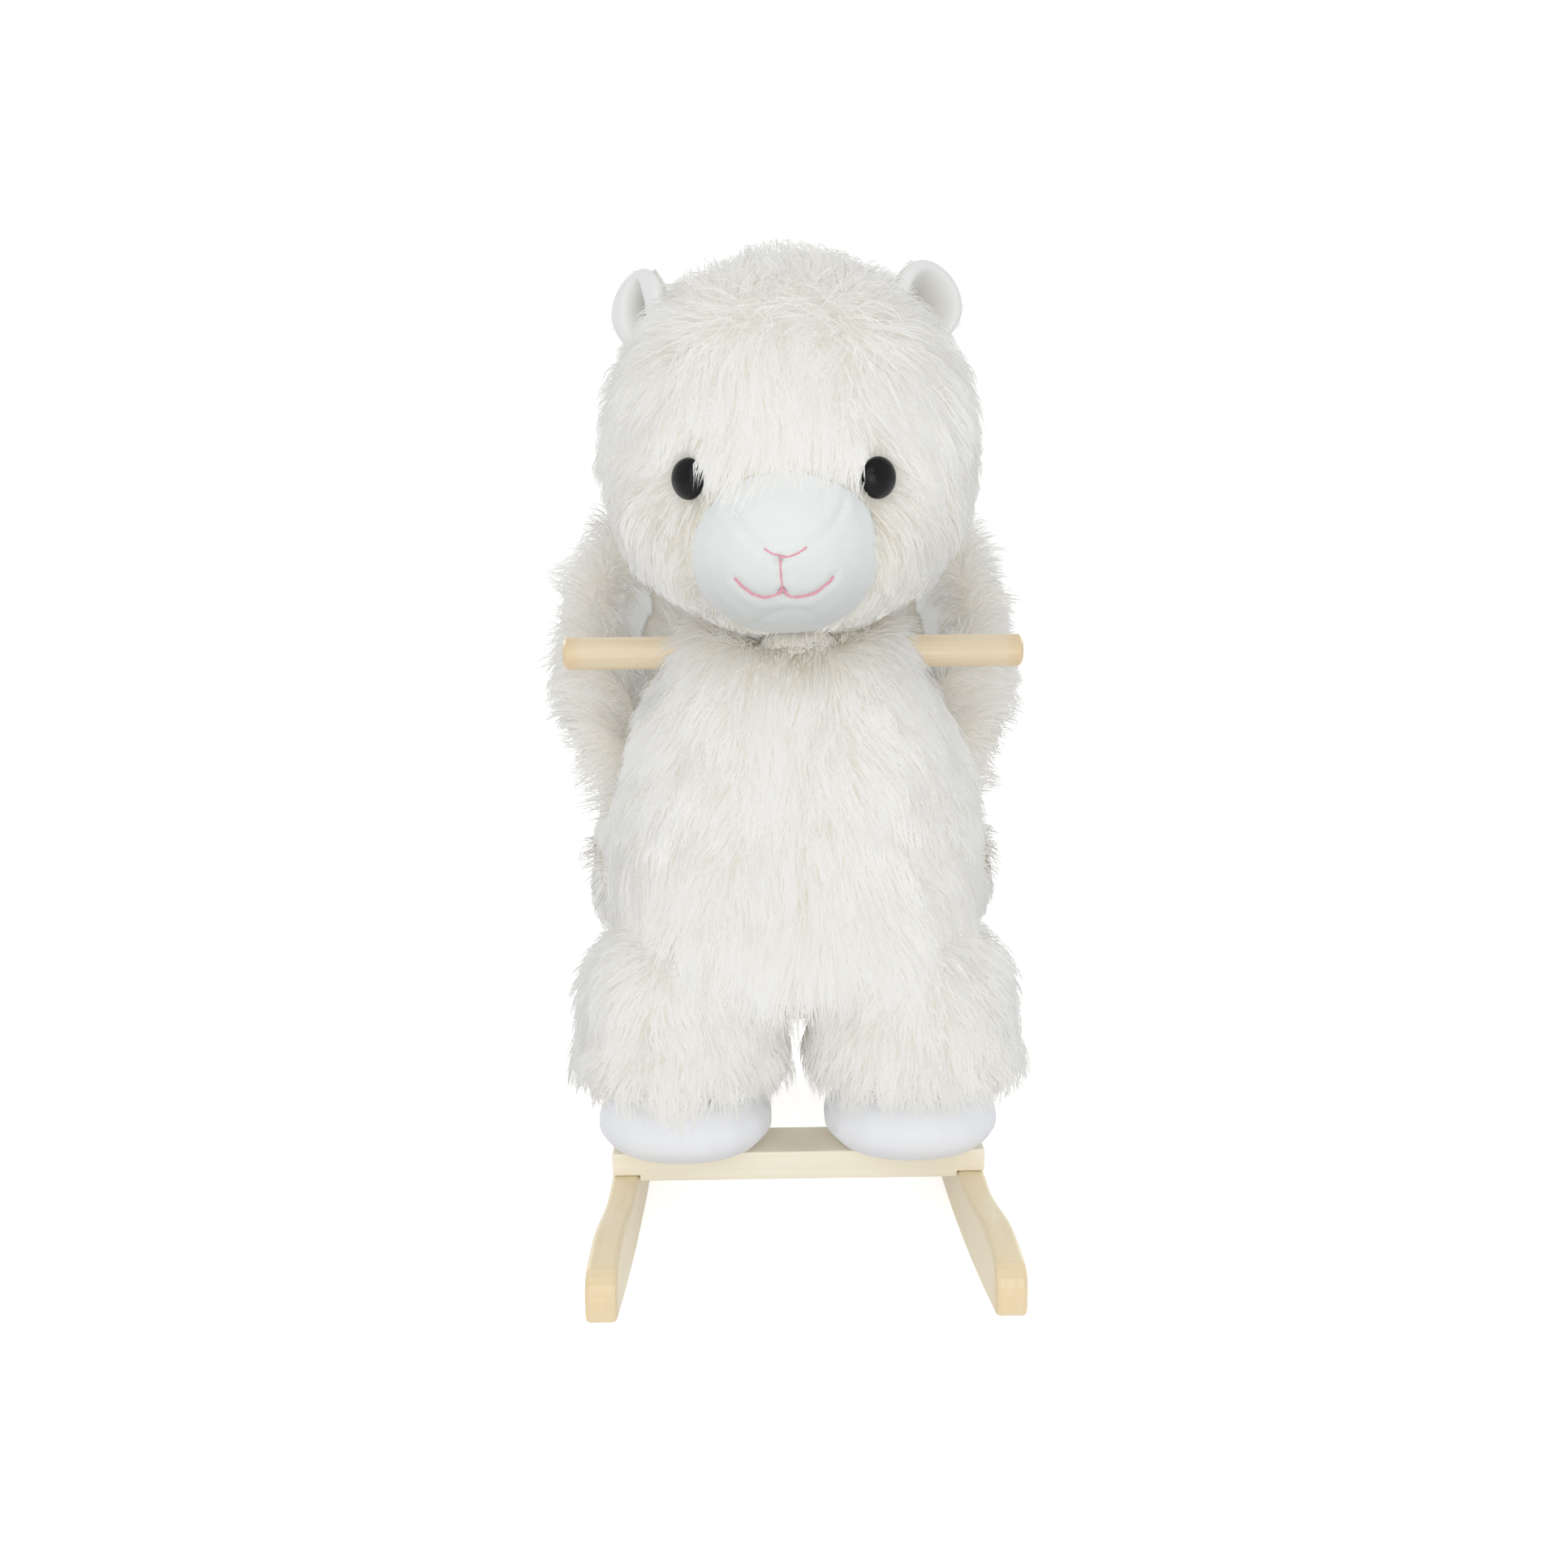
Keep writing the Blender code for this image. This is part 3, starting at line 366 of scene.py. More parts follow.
def velour(name, colour, shade, cloud_scale=38.0, pile_scale=1700.0, low_shade=None, hollow=0.0):
    """Velour in two close shades. Given a low and a high height and a depth, it is painted darker below
    the high one, as painted shade, and given a share, it is painted darker in a hollow by the mesh's
    attribute of that name, also as painted shade."""
    finish = Finish(name, roughness=0.9, sheen_weight=0.25, sheen_roughness=0.5)
    place = finish.stretched(PLAIN)
    clouds = finish.noise(place, cloud_scale, 3.0)
    pile = finish.noise(place, pile_scale, 2.0, 0.7)
    cloth = finish.blend(clouds * 0.5 + pile * 0.5, colour, shade)
    # painted shade: darker towards the bottom, below a height
    if low_shade:
        low, high, depth = low_shade
        height = finish.node("SeparateXYZ", {}, {"Vector": place}, 2)
        low_shade_share = finish.node("MapRange", {"interpolation_type": "SMOOTHSTEP"},
                            {"Value": height, "From Min": low, "From Max": high,
                             "To Min": depth, "To Max": 0.0})
        cloth = finish.blend(low_shade_share, cloth, PAINTED_LOW_SHADE)
    # painted shade in a hollow, by the mesh's attribute
    if hollow:
        depth = finish.node("Attribute", {"attribute_name": "hollow"}, output=2)
        cloth = finish.blend(depth * hollow, cloth, PAINTED_HOLLOW_SHADE)
    finish.feed("Base Color", cloth)
    finish.bump(pile + clouds * 2.0, VELOUR_RELIEF, 0.55)
    return finish.material


# the muzzle's velour is painted darker towards its bottom, as the shade that falls on its lower part
muzzle_velour = velour("muzzle_velour", (0.76, 0.79, 0.78), (0.82, 0.85, 0.84),
                       low_shade=(0.415, 0.478, 0.36))
foot_velour = velour("foot_velour", (0.80, 0.815, 0.86), (0.88, 0.89, 0.925))
# the ear's velour is painted darker in its hollow, as the shade that falls there
ear_velour = velour("ear_velour", (0.78, 0.785, 0.77), (0.84, 0.845, 0.83), hollow=0.75)
seat_velour = velour("seat_velour", (0.90, 0.915, 0.93), (0.95, 0.96, 0.97))
backing = velour("fur_backing", (0.70, 0.665, 0.585), (0.78, 0.75, 0.675), 60.0, 900.0)
velours = (muzzle_velour, foot_velour, ear_velour, seat_velour, backing)
print("velours:", [material.name for material in velours])

# %% Fur, thread and eye materials
fur_finish = Finish("fur", roughness=0.75, sheen_weight=0.15, specular_ior_level=0.25)
lock_map = fur_finish.node("UVMap", {"uv_map": "OFBake"})
across_up = fur_finish.node("SeparateXYZ", {}, {"Vector": lock_map})
height = Tone(fur_finish, across_up.socket.node.outputs[1])
ROOT_TO_TIP = [(0.0, (0.88, 0.84, 0.75)), (0.35, (0.94, 0.92, 0.875)),
               (0.70, (0.96, 0.95, 0.925)), (1.0, (0.98, 0.975, 0.96))]
DARK_TO_PALE = [(0.0, (0.84, 0.80, 0.68)), (0.30, (0.955, 0.945, 0.915)), (0.65, (1.0, 1.0, 0.995))]
along_lock = fur_finish.node("ValToRGB", {"stops": ROOT_TO_TIP}, {"Fac": height})
lock_tone = fur_finish.node("ValToRGB", {"stops": DARK_TO_PALE}, {"Fac": across_up})
fur_finish.feed("Base Color", fur_finish.blend(1.0, along_lock, lock_tone, "MULTIPLY"))
fur = fur_finish.material

thread_finish = Finish("pink_thread", roughness=0.55, sheen_weight=0.3)
twist = thread_finish.noise(thread_finish.stretched(PLAIN), 1500.0, 1.0)
thread_finish.feed("Base Color", thread_finish.blend(twist, (0.70, 0.27, 0.35), (0.80, 0.40, 0.47)))
pink_thread = thread_finish.material

eye_finish = Finish("eye_gloss", base_color=(0.004, 0.003, 0.004), specular_ior_level=0.18)
scuff = eye_finish.noise(eye_finish.stretched(PLAIN), 250.0, 1.0)
eye_finish.feed("Roughness", scuff * 0.04 + 0.03)
eye_gloss = eye_finish.material
print("materials:", len(bpy.data.materials))

# %% [markdown]
# ## Covers over the solids
# A stuffed part's cover follows its solid. Copying the solid would also copy the slots cut for the
# posts and boards inside, so each cover starts as a sphere a little larger than the part. Shrinkwrap
# draws it in onto the solid, Smooth takes away the solid's facets, and Displace sinks it under the
# surface, because the fur on top needs that room. Soft parts sag and bulge in ways that the plain
# solids don't show, such as the wide hips, the belly over the legs and the flared cuffs. Small
# functions move a cover's points for these.

# %% Modelling helpers
def only(*objects):
    """Select just these objects, and make the last one active."""
    bpy.ops.object.select_all(action="DESELECT")
    for obj in objects:
        obj.select_set(True)
    bpy.context.view_layer.objects.active = objects[-1]


def settle(obj):
    """Apply the modifiers, then the place, turn and size."""
    only(obj)
    for modifier in list(obj.modifiers):
        bpy.ops.object.modifier_apply(modifier=modifier.name)
    bpy.ops.object.transform_apply(location=True, rotation=True, scale=True)
    return obj


def dress(obj, material, slot, *replaced):
    """Give a finished piece its material and smooth shading, hang it on the root body, and hide the CAD parts
    that it replaces.
    """
    obj.data.materials.clear()
    obj.data.materials.append(material)
    obj.data.shade_smooth()
    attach(obj, "root")
    if replaced:
        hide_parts(*replaced)
    return obj


def numbers(items, name, width=3):
    """An attribute of a mesh's vertices as an array."""
    values = np.empty(len(items) * width)
    items.foreach_get(name, values)
    return values.reshape(-1, width)


print("modelling helpers ready")


# %% Cover helpers
def in_order(obj):
    """Sort a new sphere's points and faces, because Blender lists them in another order on each run."""
    mesh = obj.data
    places = [tuple(vertex.co) for vertex in mesh.vertices]
    order = sorted(range(len(places)), key=places.__getitem__)
    rank = {old: new for new, old in enumerate(order)}
    faces = []
    for polygon in mesh.polygons:
        corners = [rank[vertex] for vertex in polygon.vertices]
        first = corners.index(min(corners))
        faces.append(corners[first:] + corners[:first])
    mesh.clear_geometry()
    mesh.from_pydata([places[old] for old in order], [], sorted(faces))
    mesh.update()
    return obj


def draw_in(cover, depth):
    """Move a cover's surface inwards, or outwards by a depth below zero."""
    shift = cover.modifiers.new("sink", "DISPLACE")
    shift.mid_level = 0.0
    shift.strength = -depth
    return settle(cover)


def wrapped(name, node, sink=0.0, sides=72, rings=48, smooth=10, reach=1.4):
    """A closed cover over a CAD form, sunk under its surface."""
    low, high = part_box(node)
    bpy.ops.mesh.primitive_uv_sphere_add(segments=sides, ring_count=rings, radius=0.5,
                                         location=(low + high) / 2, scale=(high - low) * reach)
    cover = in_order(bpy.context.object)
    cover.name = name
    for method in ("PROJECT", "NEAREST_SURFACEPOINT"):
        wrap = cover.modifiers.new(method.lower(), "SHRINKWRAP")
        wrap.target = NODES[node]
        wrap.wrap_method = method
        if method == "PROJECT":
            wrap.use_negative_direction = True
            wrap.use_positive_direction = False
    soften = cover.modifiers.new("soften", "SMOOTH")
    soften.iterations = smooth
    settle(cover)
    if sink:
        draw_in(cover, sink)
    return cover


def remeshed(name, node, voxel, smooth, sink=0.0):
    """A closed cover from a copy of a CAD form, with its facets smoothed away."""
    only(NODES[node])
    bpy.ops.object.duplicate()
    cover = bpy.context.object
    cover.name = name
    cover.parent = None
    for key in [key for key in cover.keys() if key.startswith("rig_")]:
        del cover[key]
    bpy.ops.object.mode_set(mode="EDIT")
    bpy.ops.mesh.select_all(action="SELECT")
    bpy.ops.mesh.remove_doubles(threshold=0.00001)
    bpy.ops.object.mode_set(mode="OBJECT")
    skin = cover.modifiers.new("skin", "REMESH")
    skin.mode = "VOXEL"
    skin.voxel_size = voxel
    soften = cover.modifiers.new("soften", "SMOOTH")
    soften.iterations = smooth
    settle(cover)
    if sink:
        draw_in(cover, sink)
    return cover


def reshaped(obj, change):
    """Move a cover's points by a function of their places."""
    places = numbers(obj.data.vertices, "co")
    change(places)
    obj.data.vertices.foreach_set("co", places.ravel())
    obj.data.update()


def ramp(values, start, reach):
    """0 up to the start, then growing evenly to 1 over the reach, downwards if the reach is below zero."""
    return np.clip((values - start) / reach, 0, 1)


def tree_of(obj):
    """A mesh's surface, made ready for rays and nearest points."""
    mesh = obj.data
    return BVHTree.FromPolygons([v.co for v in mesh.vertices], [p.vertices for p in mesh.polygons])


print("cover helpers ready")

# %% Sags and bulges of the covers
FUR_SINK = 0.005           # the backing lies this far under the CAD surface
WALL_SINK = 0.002
THIGH_FROM = 0.16          # above this a leg's cover is drawn up towards the body
THIGH_STRETCH = 0.12
CUFF_TO = 0.155            # below this a leg's cover widens, in full from the cuff's depth further down
CUFF_DEPTH = 0.035
CUFF_WIDEN = 0.17
CUFF_INNER = 0.75          # share of that on the side towards the other leg
HIP_FROM = 0.24            # below this the body's and the chest's covers widen to meet the legs
HIP_DEPTH = 0.08
HIP_CURVE = 1.5
HIP_WIDEN = 0.27
HIP_NARROW = 0.045         # the widest part draws in by this share,
HIP_BAND = 0.03            # in a band of about this half height
BELLY_WIDEN = 0.52
BELLY_FORWARD = 0.023      # and the chest's comes forward over the tops of the legs
BELLY_RISE = 0.015         # from this far above the hips,
BELLY_SWELL = 0.055        # in full this much lower
WING_FULL = 0.355          # below this the wall's outer side draws in to the body
WING_DEPTH = 0.07
WING_INNER = 0.135
WING_NARROW = 0.55
WING_CLOSE = 0.020         # and its inner side comes in as far as this towards the chest,
WING_HALF = (0.165, 0.08)  # between these half widths,
WING_FRONT = 0.070         # in front of this
WING_LOW = 0.395           # and below this,
WING_FADE = 0.045          # in full this much further


def column(places):
    """A leg's cover: taller at its top and fuller at its cuff."""
    middle = (places[:, :2].min(0) + places[:, :2].max(0)) / 2
    lower = ramp(places[:, 2], CUFF_TO, -CUFF_DEPTH)
    inner = (places[:, 0] - middle[0]) * middle[0] < 0
    places[:, 0] += (places[:, 0] - middle[0]) * CUFF_WIDEN * lower * np.where(inner, CUFF_INNER, 1)
    places[:, 1] += (places[:, 1] - middle[1]) * CUFF_WIDEN * lower
    places[:, 2] += np.maximum(places[:, 2] - THIGH_FROM, 0) * THIGH_STRETCH


def below_hips(places):
    """How far each point is below the hips, growing faster further down."""
    return (np.maximum(HIP_FROM - places[:, 2], 0) / HIP_DEPTH) ** HIP_CURVE


def hips(places):
    """The body's cover: wider below the hips and a little narrower at them."""
    drawn = HIP_NARROW * np.exp(-((places[:, 2] - HIP_FROM) / HIP_BAND) ** 2)
    places[:, 0] *= 1 + HIP_WIDEN * below_hips(places) - drawn


def belly(places):
    """The chest's cover: wider at the bottom, where it swells forward."""
    swell = ramp(places[:, 2], HIP_FROM + BELLY_RISE, -BELLY_SWELL)
    places[:, 0] *= 1 + BELLY_WIDEN * below_hips(places)
    places[:, 1] -= BELLY_FORWARD * swell ** 2 * (3 - 2 * swell)


def wings(places):
    """The seat wall's cover: narrower where it comes down to the body, and closed towards the chest."""
    below = ramp(places[:, 2], WING_FULL, -WING_DEPTH)
    beyond = np.maximum(np.abs(places[:, 0]) - WING_INNER, 0)
    places[:, 0] -= np.sign(places[:, 0]) * beyond * WING_NARROW * below
    within = ramp(np.abs(places[:, 0]), WING_HALF[0], -0.04) * (np.abs(places[:, 0]) > WING_HALF[1])
    forward = ramp(places[:, 1], WING_FRONT, -WING_FADE)
    lower = ramp(places[:, 2], WING_LOW, -WING_FADE)
    places[:, 0] -= np.sign(places[:, 0]) * WING_CLOSE * within * forward * lower


print("reshaped covers:", [change.__name__ for change in (column, hips, belly, wings)])

# %% Covers under the fur
covers = {}
for node in ["head", "chest_and_neck", "body"] + [f"{leg}_leg" for leg in LEGS]:
    covers[node] = wrapped(f"{node}_backing", node, FUR_SINK)
lining = remeshed("seat_lining", "seat_back_padding", 0.004, 10, 0.001)
covers["seat_back_padding"] = remeshed("seat_back_padding_backing", "seat_back_padding",
                                       0.005, 8, WALL_SINK)
reshaped(covers["body"], hips)
reshaped(covers["chest_and_neck"], belly)
reshaped(covers["seat_back_padding"], wings)
for leg in LEGS:
    reshaped(covers[f"{leg}_leg"], column)
for node, cover in covers.items():
    dress(cover, backing, "fur", node)
print("covers:", {name: len(cover.data.polygons) for name, cover in covers.items()})

# %% [markdown]
# ## Feet and ears
# These are plain velour shapes. A foot keeps the notch where it straddles the crossbar, so its cover
# comes from a copy of the solid: a voxel remesh makes an even skin and smoothing rounds it. An ear is
# a flap of stuffed velour folded into a cup. A sphere is flattened, its front is scooped out, and its
# two edges are folded forward.

# %% Feet and ears
feet = {}
for leg in LEGS:
    feet[leg] = remeshed(f"{leg}_foot_velour", f"{leg}_foot", 0.003, 10)
    dress(feet[leg], foot_velour, "velour", f"{leg}_foot")

EAR_MIDDLE = {"left": (-0.0910, -0.121, 0.6060), "right": (0.0795, -0.124, 0.6095)}
EAR_HALF = {"left": (0.0220, 0.0100, 0.0270), "right": (0.0245, 0.0105, 0.0275)}
EAR_TURN = {"left": radians(-42), "right": radians(30)}
EAR_LEAN = radians(10)
EAR_HOLLOW = 0.019
EAR_HOLLOW_CURVE = 1.2
EAR_OPENING = {"left": 0.42, "right": 0.80}   # shares of the ear's width,
EAR_OPENING_TALL = 0.86                       # of its height,
EAR_OPENING_DOWN = 0.05                       # and how far it lies below the middle
EAR_FOLD = 0.007
EAR_TAPER = 0.18                              # the lower end is narrower by this share

ears = {}
for side, sx in SIDES:
    bpy.ops.mesh.primitive_uv_sphere_add(segments=64, ring_count=48, radius=1.0)
    ear = in_order(bpy.context.object)
    ear.name = f"{side}_ear_velour"
    places = numbers(ear.data.vertices, "co")
    wide, thick, tall = EAR_HALF[side]
    from_middle = np.hypot(places[:, 0] / EAR_OPENING[side],
                           (places[:, 2] + EAR_OPENING_DOWN) / EAR_OPENING_TALL)
    scoop = np.where(places[:, 1] < 0, np.clip(1 - from_middle ** 2, 0, 1) ** EAR_HOLLOW_CURVE, 0)
    narrower = 1 - EAR_TAPER * np.clip(-places[:, 2], 0, 1)
    back = EAR_HOLLOW * scoop - EAR_FOLD * places[:, 0] ** 2
    places = places * np.array([wide, thick, tall])
    places[:, 1] += back
    places[:, 0] *= narrower
    ear.data.vertices.foreach_set("co", places.ravel())
    # the scoop's depth, by which painted shade darkens the ear's hollow
    ear.data.attributes.new("hollow", "FLOAT", "POINT").data.foreach_set("value", scoop)
    ear.matrix_world = (Matrix.Translation(EAR_MIDDLE[side]) @ Matrix.Rotation(EAR_TURN[side], 4, "Z")
                        @ Matrix.Rotation(sx * EAR_LEAN, 4, "Y"))
    soften = ear.modifiers.new("soften", "SMOOTH")
    soften.iterations = 3
    ears[side] = dress(settle(ear), ear_velour, "velour", f"{side}_ear")
print("feet and ears:", [len(o.data.polygons) for o in (*feet.values(), *ears.values())])

# %% [markdown]
# ## Muzzle
# The muzzle is sewn from a nose panel, two cheek panels and a small chin panel. A seam is a groove a
# few millimetres wide with the cloth puffed up beside it. The seams' lines are given by where they
# lie across the muzzle and up it, and they are laid on the surface by looking at it from the front.

# %% Where the muzzle is sewn
MUZZLE_SEAM_DEPTH = 0.0016
MUZZLE_SEAM_WIDTH = 0.0022
BRIDGE_FROM = 0.470        # above this the muzzle is higher than its solid, growing by this share,
BRIDGE_RISE = 0.35
CHEEK_FULL = 0.006         # and its right side is fuller by this much,
CHEEK_RISE = 0.025         # in full this far above that height
CHEEK_FROM = -0.004        # and this far to the right of here
CHEEK_REACH = 0.04
# How deep each seam is sewn, as a share, and its places across (X) and up (Z) as seen from in front
SEAMS = {
    "nose_left": (0.75, ((-0.0115, 0.4639), (-0.0224, 0.4707), (-0.0322, 0.4806), (-0.0422, 0.4936))),
    "nose_right": (0.75, ((-0.0115, 0.4639), (-0.0037, 0.4654), (0.0040, 0.4699), (0.0116, 0.4752),
                          (0.0196, 0.4819), (0.0258, 0.4933))),
    "lip": (0.9, ((-0.0115, 0.4639), (-0.0108, 0.4550), (-0.0099, 0.4451))),
    "mouth_left": (0.9, ((-0.0099, 0.4451), (-0.0178, 0.4418), (-0.0233, 0.4418), (-0.0311, 0.4460),
                         (-0.0373, 0.4520))),
    "mouth_right": (0.9, ((-0.0099, 0.4451), (-0.0069, 0.4426), (0.0001, 0.4417), (0.0079, 0.4435),
                          (0.0159, 0.4488), (0.0194, 0.4533))),
    "chin": (0.5, ((-0.0330, 0.4220), (-0.0170, 0.4315), (-0.0046, 0.4351), (0.0020, 0.4335),
                   (0.0087, 0.4305), (0.0170, 0.4250)))}


print("seams:", list(SEAMS))


# %% Sewing helpers
def smooth_line(points, steps=12):
    """A rounded line through flat points, by Catmull-Rom."""
    ends = [points[0], *points, points[-1]]
    line = []
    for a, b, c, d in zip(ends, ends[1:], ends[2:], ends[3:]):
        for k in range(steps):
            t = k / steps
            line.append(tuple(0.5 * (2 * q + (r - p) * t + (2 * p - 5 * q + 4 * r - s) * t * t
                                     + (3 * q - p - 3 * r + s) * t ** 3)
                              for p, q, r, s in zip(a, b, c, d)))
    return line + [points[-1]]


def on_front(tree, points):
    """Lay flat points on a surface as seen from the front."""
    laid = []
    for across, up in smooth_line(points):
        start = Vector((across, -1.0, up))
        place, normal, _, _ = tree.ray_cast(start, Vector((0, 1, 0)))
        if place is not None:
            laid.append((place, normal))
    return laid


def distance_to_line(points, line):
    """How far each point is from a line of points."""
    nearest = np.full(len(points), 1.0)
    for a, b in zip(line, line[1:]):
        along = b - a
        t = np.clip(((points - a) @ along) / max(along @ along, 1e-12), 0, 1)
        nearest = np.minimum(nearest, np.linalg.norm(points - a - t[:, None] * along, axis=1))
    return nearest


def sewn(obj, lines, depth, width):
    """Sink a groove along each line, and puff the cloth beside it."""
    places = numbers(obj.data.vertices, "co")
    normals = numbers(obj.data.vertices, "normal")
    shift = np.zeros(len(places))
    for line, share in lines:
        gap = distance_to_line(places, line)
        groove = -depth * np.exp(-(gap / width) ** 2)
        puff = 0.35 * depth * np.exp(-((gap - 2.6 * width) / (1.5 * width)) ** 2)
        shift += share * (groove + puff)
    obj.data.vertices.foreach_set("co", (places + normals * shift[:, None]).ravel())
    obj.data.update()


def bridged(places):
    """The muzzle's upper part is higher than its solid, and fuller on the side turned to the camera."""
    above = np.maximum(places[:, 2] - BRIDGE_FROM, 0)
    places[:, 2] += above * BRIDGE_RISE
    places[:, 0] += CHEEK_FULL * ramp(above, 0, CHEEK_RISE) * ramp(places[:, 0], CHEEK_FROM, CHEEK_REACH)


print("sewing helpers ready")

# %% Muzzle with sewn grooves
muzzle = wrapped("muzzle_velour", "muzzle", -0.0004, sides=180, rings=120, smooth=30)
reshaped(muzzle, bridged)
muzzle_tree = tree_of(muzzle)
seams = {name: on_front(muzzle_tree, points) for name, (_, points) in SEAMS.items()}
sewn(muzzle, [(np.array([place for place, _ in seams[name]]), share) for name, (share, _) in SEAMS.items()],
     MUZZLE_SEAM_DEPTH, MUZZLE_SEAM_WIDTH)
dress(muzzle, muzzle_velour, "velour", "muzzle")
print("muzzle faces:", len(muzzle.data.polygons), "seam points:", {k: len(v) for k, v in seams.items()})

# %% [markdown]
# ## Embroidered mouth and nose
# The mouth is a line of pink stitches. Each stitch is a short thread that dips into the cloth at both
# ends, so each is a small stretched sphere, and they are laid end to end along the line.

# %% Stitches
STITCH_LENGTH = 0.0030
STITCH_THICKNESS = 0.0011
STITCH_SPACING = 0.82      # from one stitch to the next, as a share of a stitch's length
STITCH_OVERLAP = 0.08
STITCH_PROUD = 0.12        # how far its middle is above the cloth, as a share of its thickness
STITCH_FLATNESS = 0.8
STITCH_SLANT = radians(5)
# Each row's thickness, in stitches, and the share of its seam that is stitched, from its first place
ROWS = {"nose_left": (1.25, 0.30), "nose_right": (1.25, 0.42), "lip": (1.25, 1.0),
        "mouth_left": (1.7, 1.0), "mouth_right": (1.7, 1.0)}


def stitched(name, laid, thickness):
    """A row of stitches along points on a surface."""
    places = np.array([place for place, _ in laid])
    steps = np.linalg.norm(np.diff(places, axis=0), axis=1)
    run = np.concatenate(([0], np.cumsum(steps)))
    count = max(1, round(run[-1] / (STITCH_LENGTH * STITCH_SPACING)))
    stitches = []
    for k in range(count):
        ends = [np.array([np.interp(run[-1] * (k + share) / count, run, values) for values in places.T])
                for share in (-STITCH_OVERLAP, 1 + STITCH_OVERLAP)]
        middle = Vector((ends[0] + ends[1]) / 2)
        direction = Vector(ends[1] - ends[0])
        normal = laid[int((k + 0.5) / count * (len(laid) - 1))][1]
        across = direction.cross(normal).normalized()
        turn = Matrix((direction.normalized(), across, normal)).transposed().to_4x4()
        bpy.ops.mesh.primitive_uv_sphere_add(segments=10, ring_count=8, radius=0.5)
        stitch = in_order(bpy.context.object)
        size = (direction.length, thickness, thickness * STITCH_FLATNESS, 1)
        stitch.matrix_world = (Matrix.Translation(middle + normal * thickness * STITCH_PROUD) @ turn
                               @ Matrix.Rotation(STITCH_SLANT, 4, "Z") @ Matrix.Diagonal(size))
        stitches.append(stitch)
    only(*stitches)
    if len(stitches) > 1:
        bpy.ops.object.join()
    row = bpy.context.object
    row.name = name
    settle(row)
    return dress(row, pink_thread, "velour")


muzzle_tree = tree_of(muzzle)
for name, (thickness, share) in ROWS.items():
    laid = seams[name][:max(3, int(len(seams[name]) * share))]
    sewn_down = [muzzle_tree.find_nearest(place)[:2] for place, _ in laid]
    row = stitched(f"{name}_stitches", sewn_down, STITCH_THICKNESS * thickness)
    print(row.name, len(row.data.polygons))

# %% [markdown]
# ## Eyes
# A toy eye is a polished black dome with a shank that is pushed through the cloth into a washer. The
# CAD eye is faceted, so a smooth one is turned for each side. The washer is a thin flat ring, so the
# direction in which it is thinnest is the way that the eye looks.

# %% Eyes
EYE_RIM = 0.0015           # depth of the rounded rim under the dome
EYE_SEGMENTS = 48
EYE_FULL = 0.98            # the rim is where the CAD eye has this share of its radius
EYE_UNDER = 0.97           # the underside is narrower by this
SHANK_RADIUS = 0.0029


def flat_axis(node, outward_from):
    """Middle of a flat node, and the direction in which it is thinnest, away from a point."""
    places = numbers(NODES[node].data.vertices, "co")
    middle = places.mean(0)
    axis = Vector(np.linalg.svd(places - middle, full_matrices=False)[2][2])
    if axis.dot(Vector(middle) - outward_from) < 0:
        axis = -axis
    return Vector(middle), axis


def looking(place, look):
    """A transform that turns +Z to look one way from a place."""
    return Matrix.Translation(place) @ look.to_track_quat("Z", "Y").to_matrix().to_4x4()


head_low, head_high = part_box("head")
head_centre = (head_low + head_high) / 2
eyes = {}
eye_places = {}
for side, _ in SIDES:
    washer_middle, look = flat_axis(f"{side}_eye_washer", head_centre)
    shape = numbers(NODES[f"{side}_eye"].data.vertices, "co") - np.array(washer_middle)
    depth_along = shape @ np.array(look)
    away = np.linalg.norm(shape - depth_along[:, None] * np.array(look), axis=1)
    radius = away.max()
    front = depth_along.max()
    rim = depth_along[away > radius * EYE_FULL].min()
    back = depth_along.min()
    dome = front - rim - EYE_RIM
    bpy.ops.mesh.primitive_uv_sphere_add(segments=EYE_SEGMENTS, ring_count=32, radius=radius)
    eye = in_order(bpy.context.object)
    eye.name = f"{side}_eye_dome"
    mesh = eye.data
    places = numbers(mesh.vertices, "co")
    up = places[:, 2] / radius
    places[:, 2] = np.where(up > 0, up * dome, up * EYE_RIM)
    places[up < -0.05, :2] *= EYE_UNDER
    mesh.vertices.foreach_set("co", places.ravel())
    place = washer_middle + look * (rim + EYE_RIM)
    eye.matrix_world = looking(place, look)
    settle(eye)
    bpy.ops.mesh.primitive_cylinder_add(vertices=24, radius=SHANK_RADIUS, depth=rim - back)
    shank = in_order(bpy.context.object)
    shank.matrix_world = looking(washer_middle + look * (rim + back) / 2, look)
    settle(shank)
    only(shank, eye)
    bpy.ops.object.join()
    eyes[side] = dress(eye, eye_gloss, "black_plastic", f"{side}_eye")
    eye_places[side] = np.array(place)
    print(eye.name, "radius", round(radius, 4), "dome", round(dome, 4))

# %% [markdown]
# ## Seat
# The seat is a thick cushion inside the padded wall. Its cover is swollen by its filling, and a cloth
# simulation with pressure gives that: the edges round off and the middle crowns. The wall is lined
# with velour on the inside, cut as a band that stops under the fur rim.

# %% Seat cushion
CUSHION_PRESSURE = 4.0
CUSHION_FRAMES = 20
CUSHION_MOST_MOVE = 0.006  # the simulation may move no point further than this

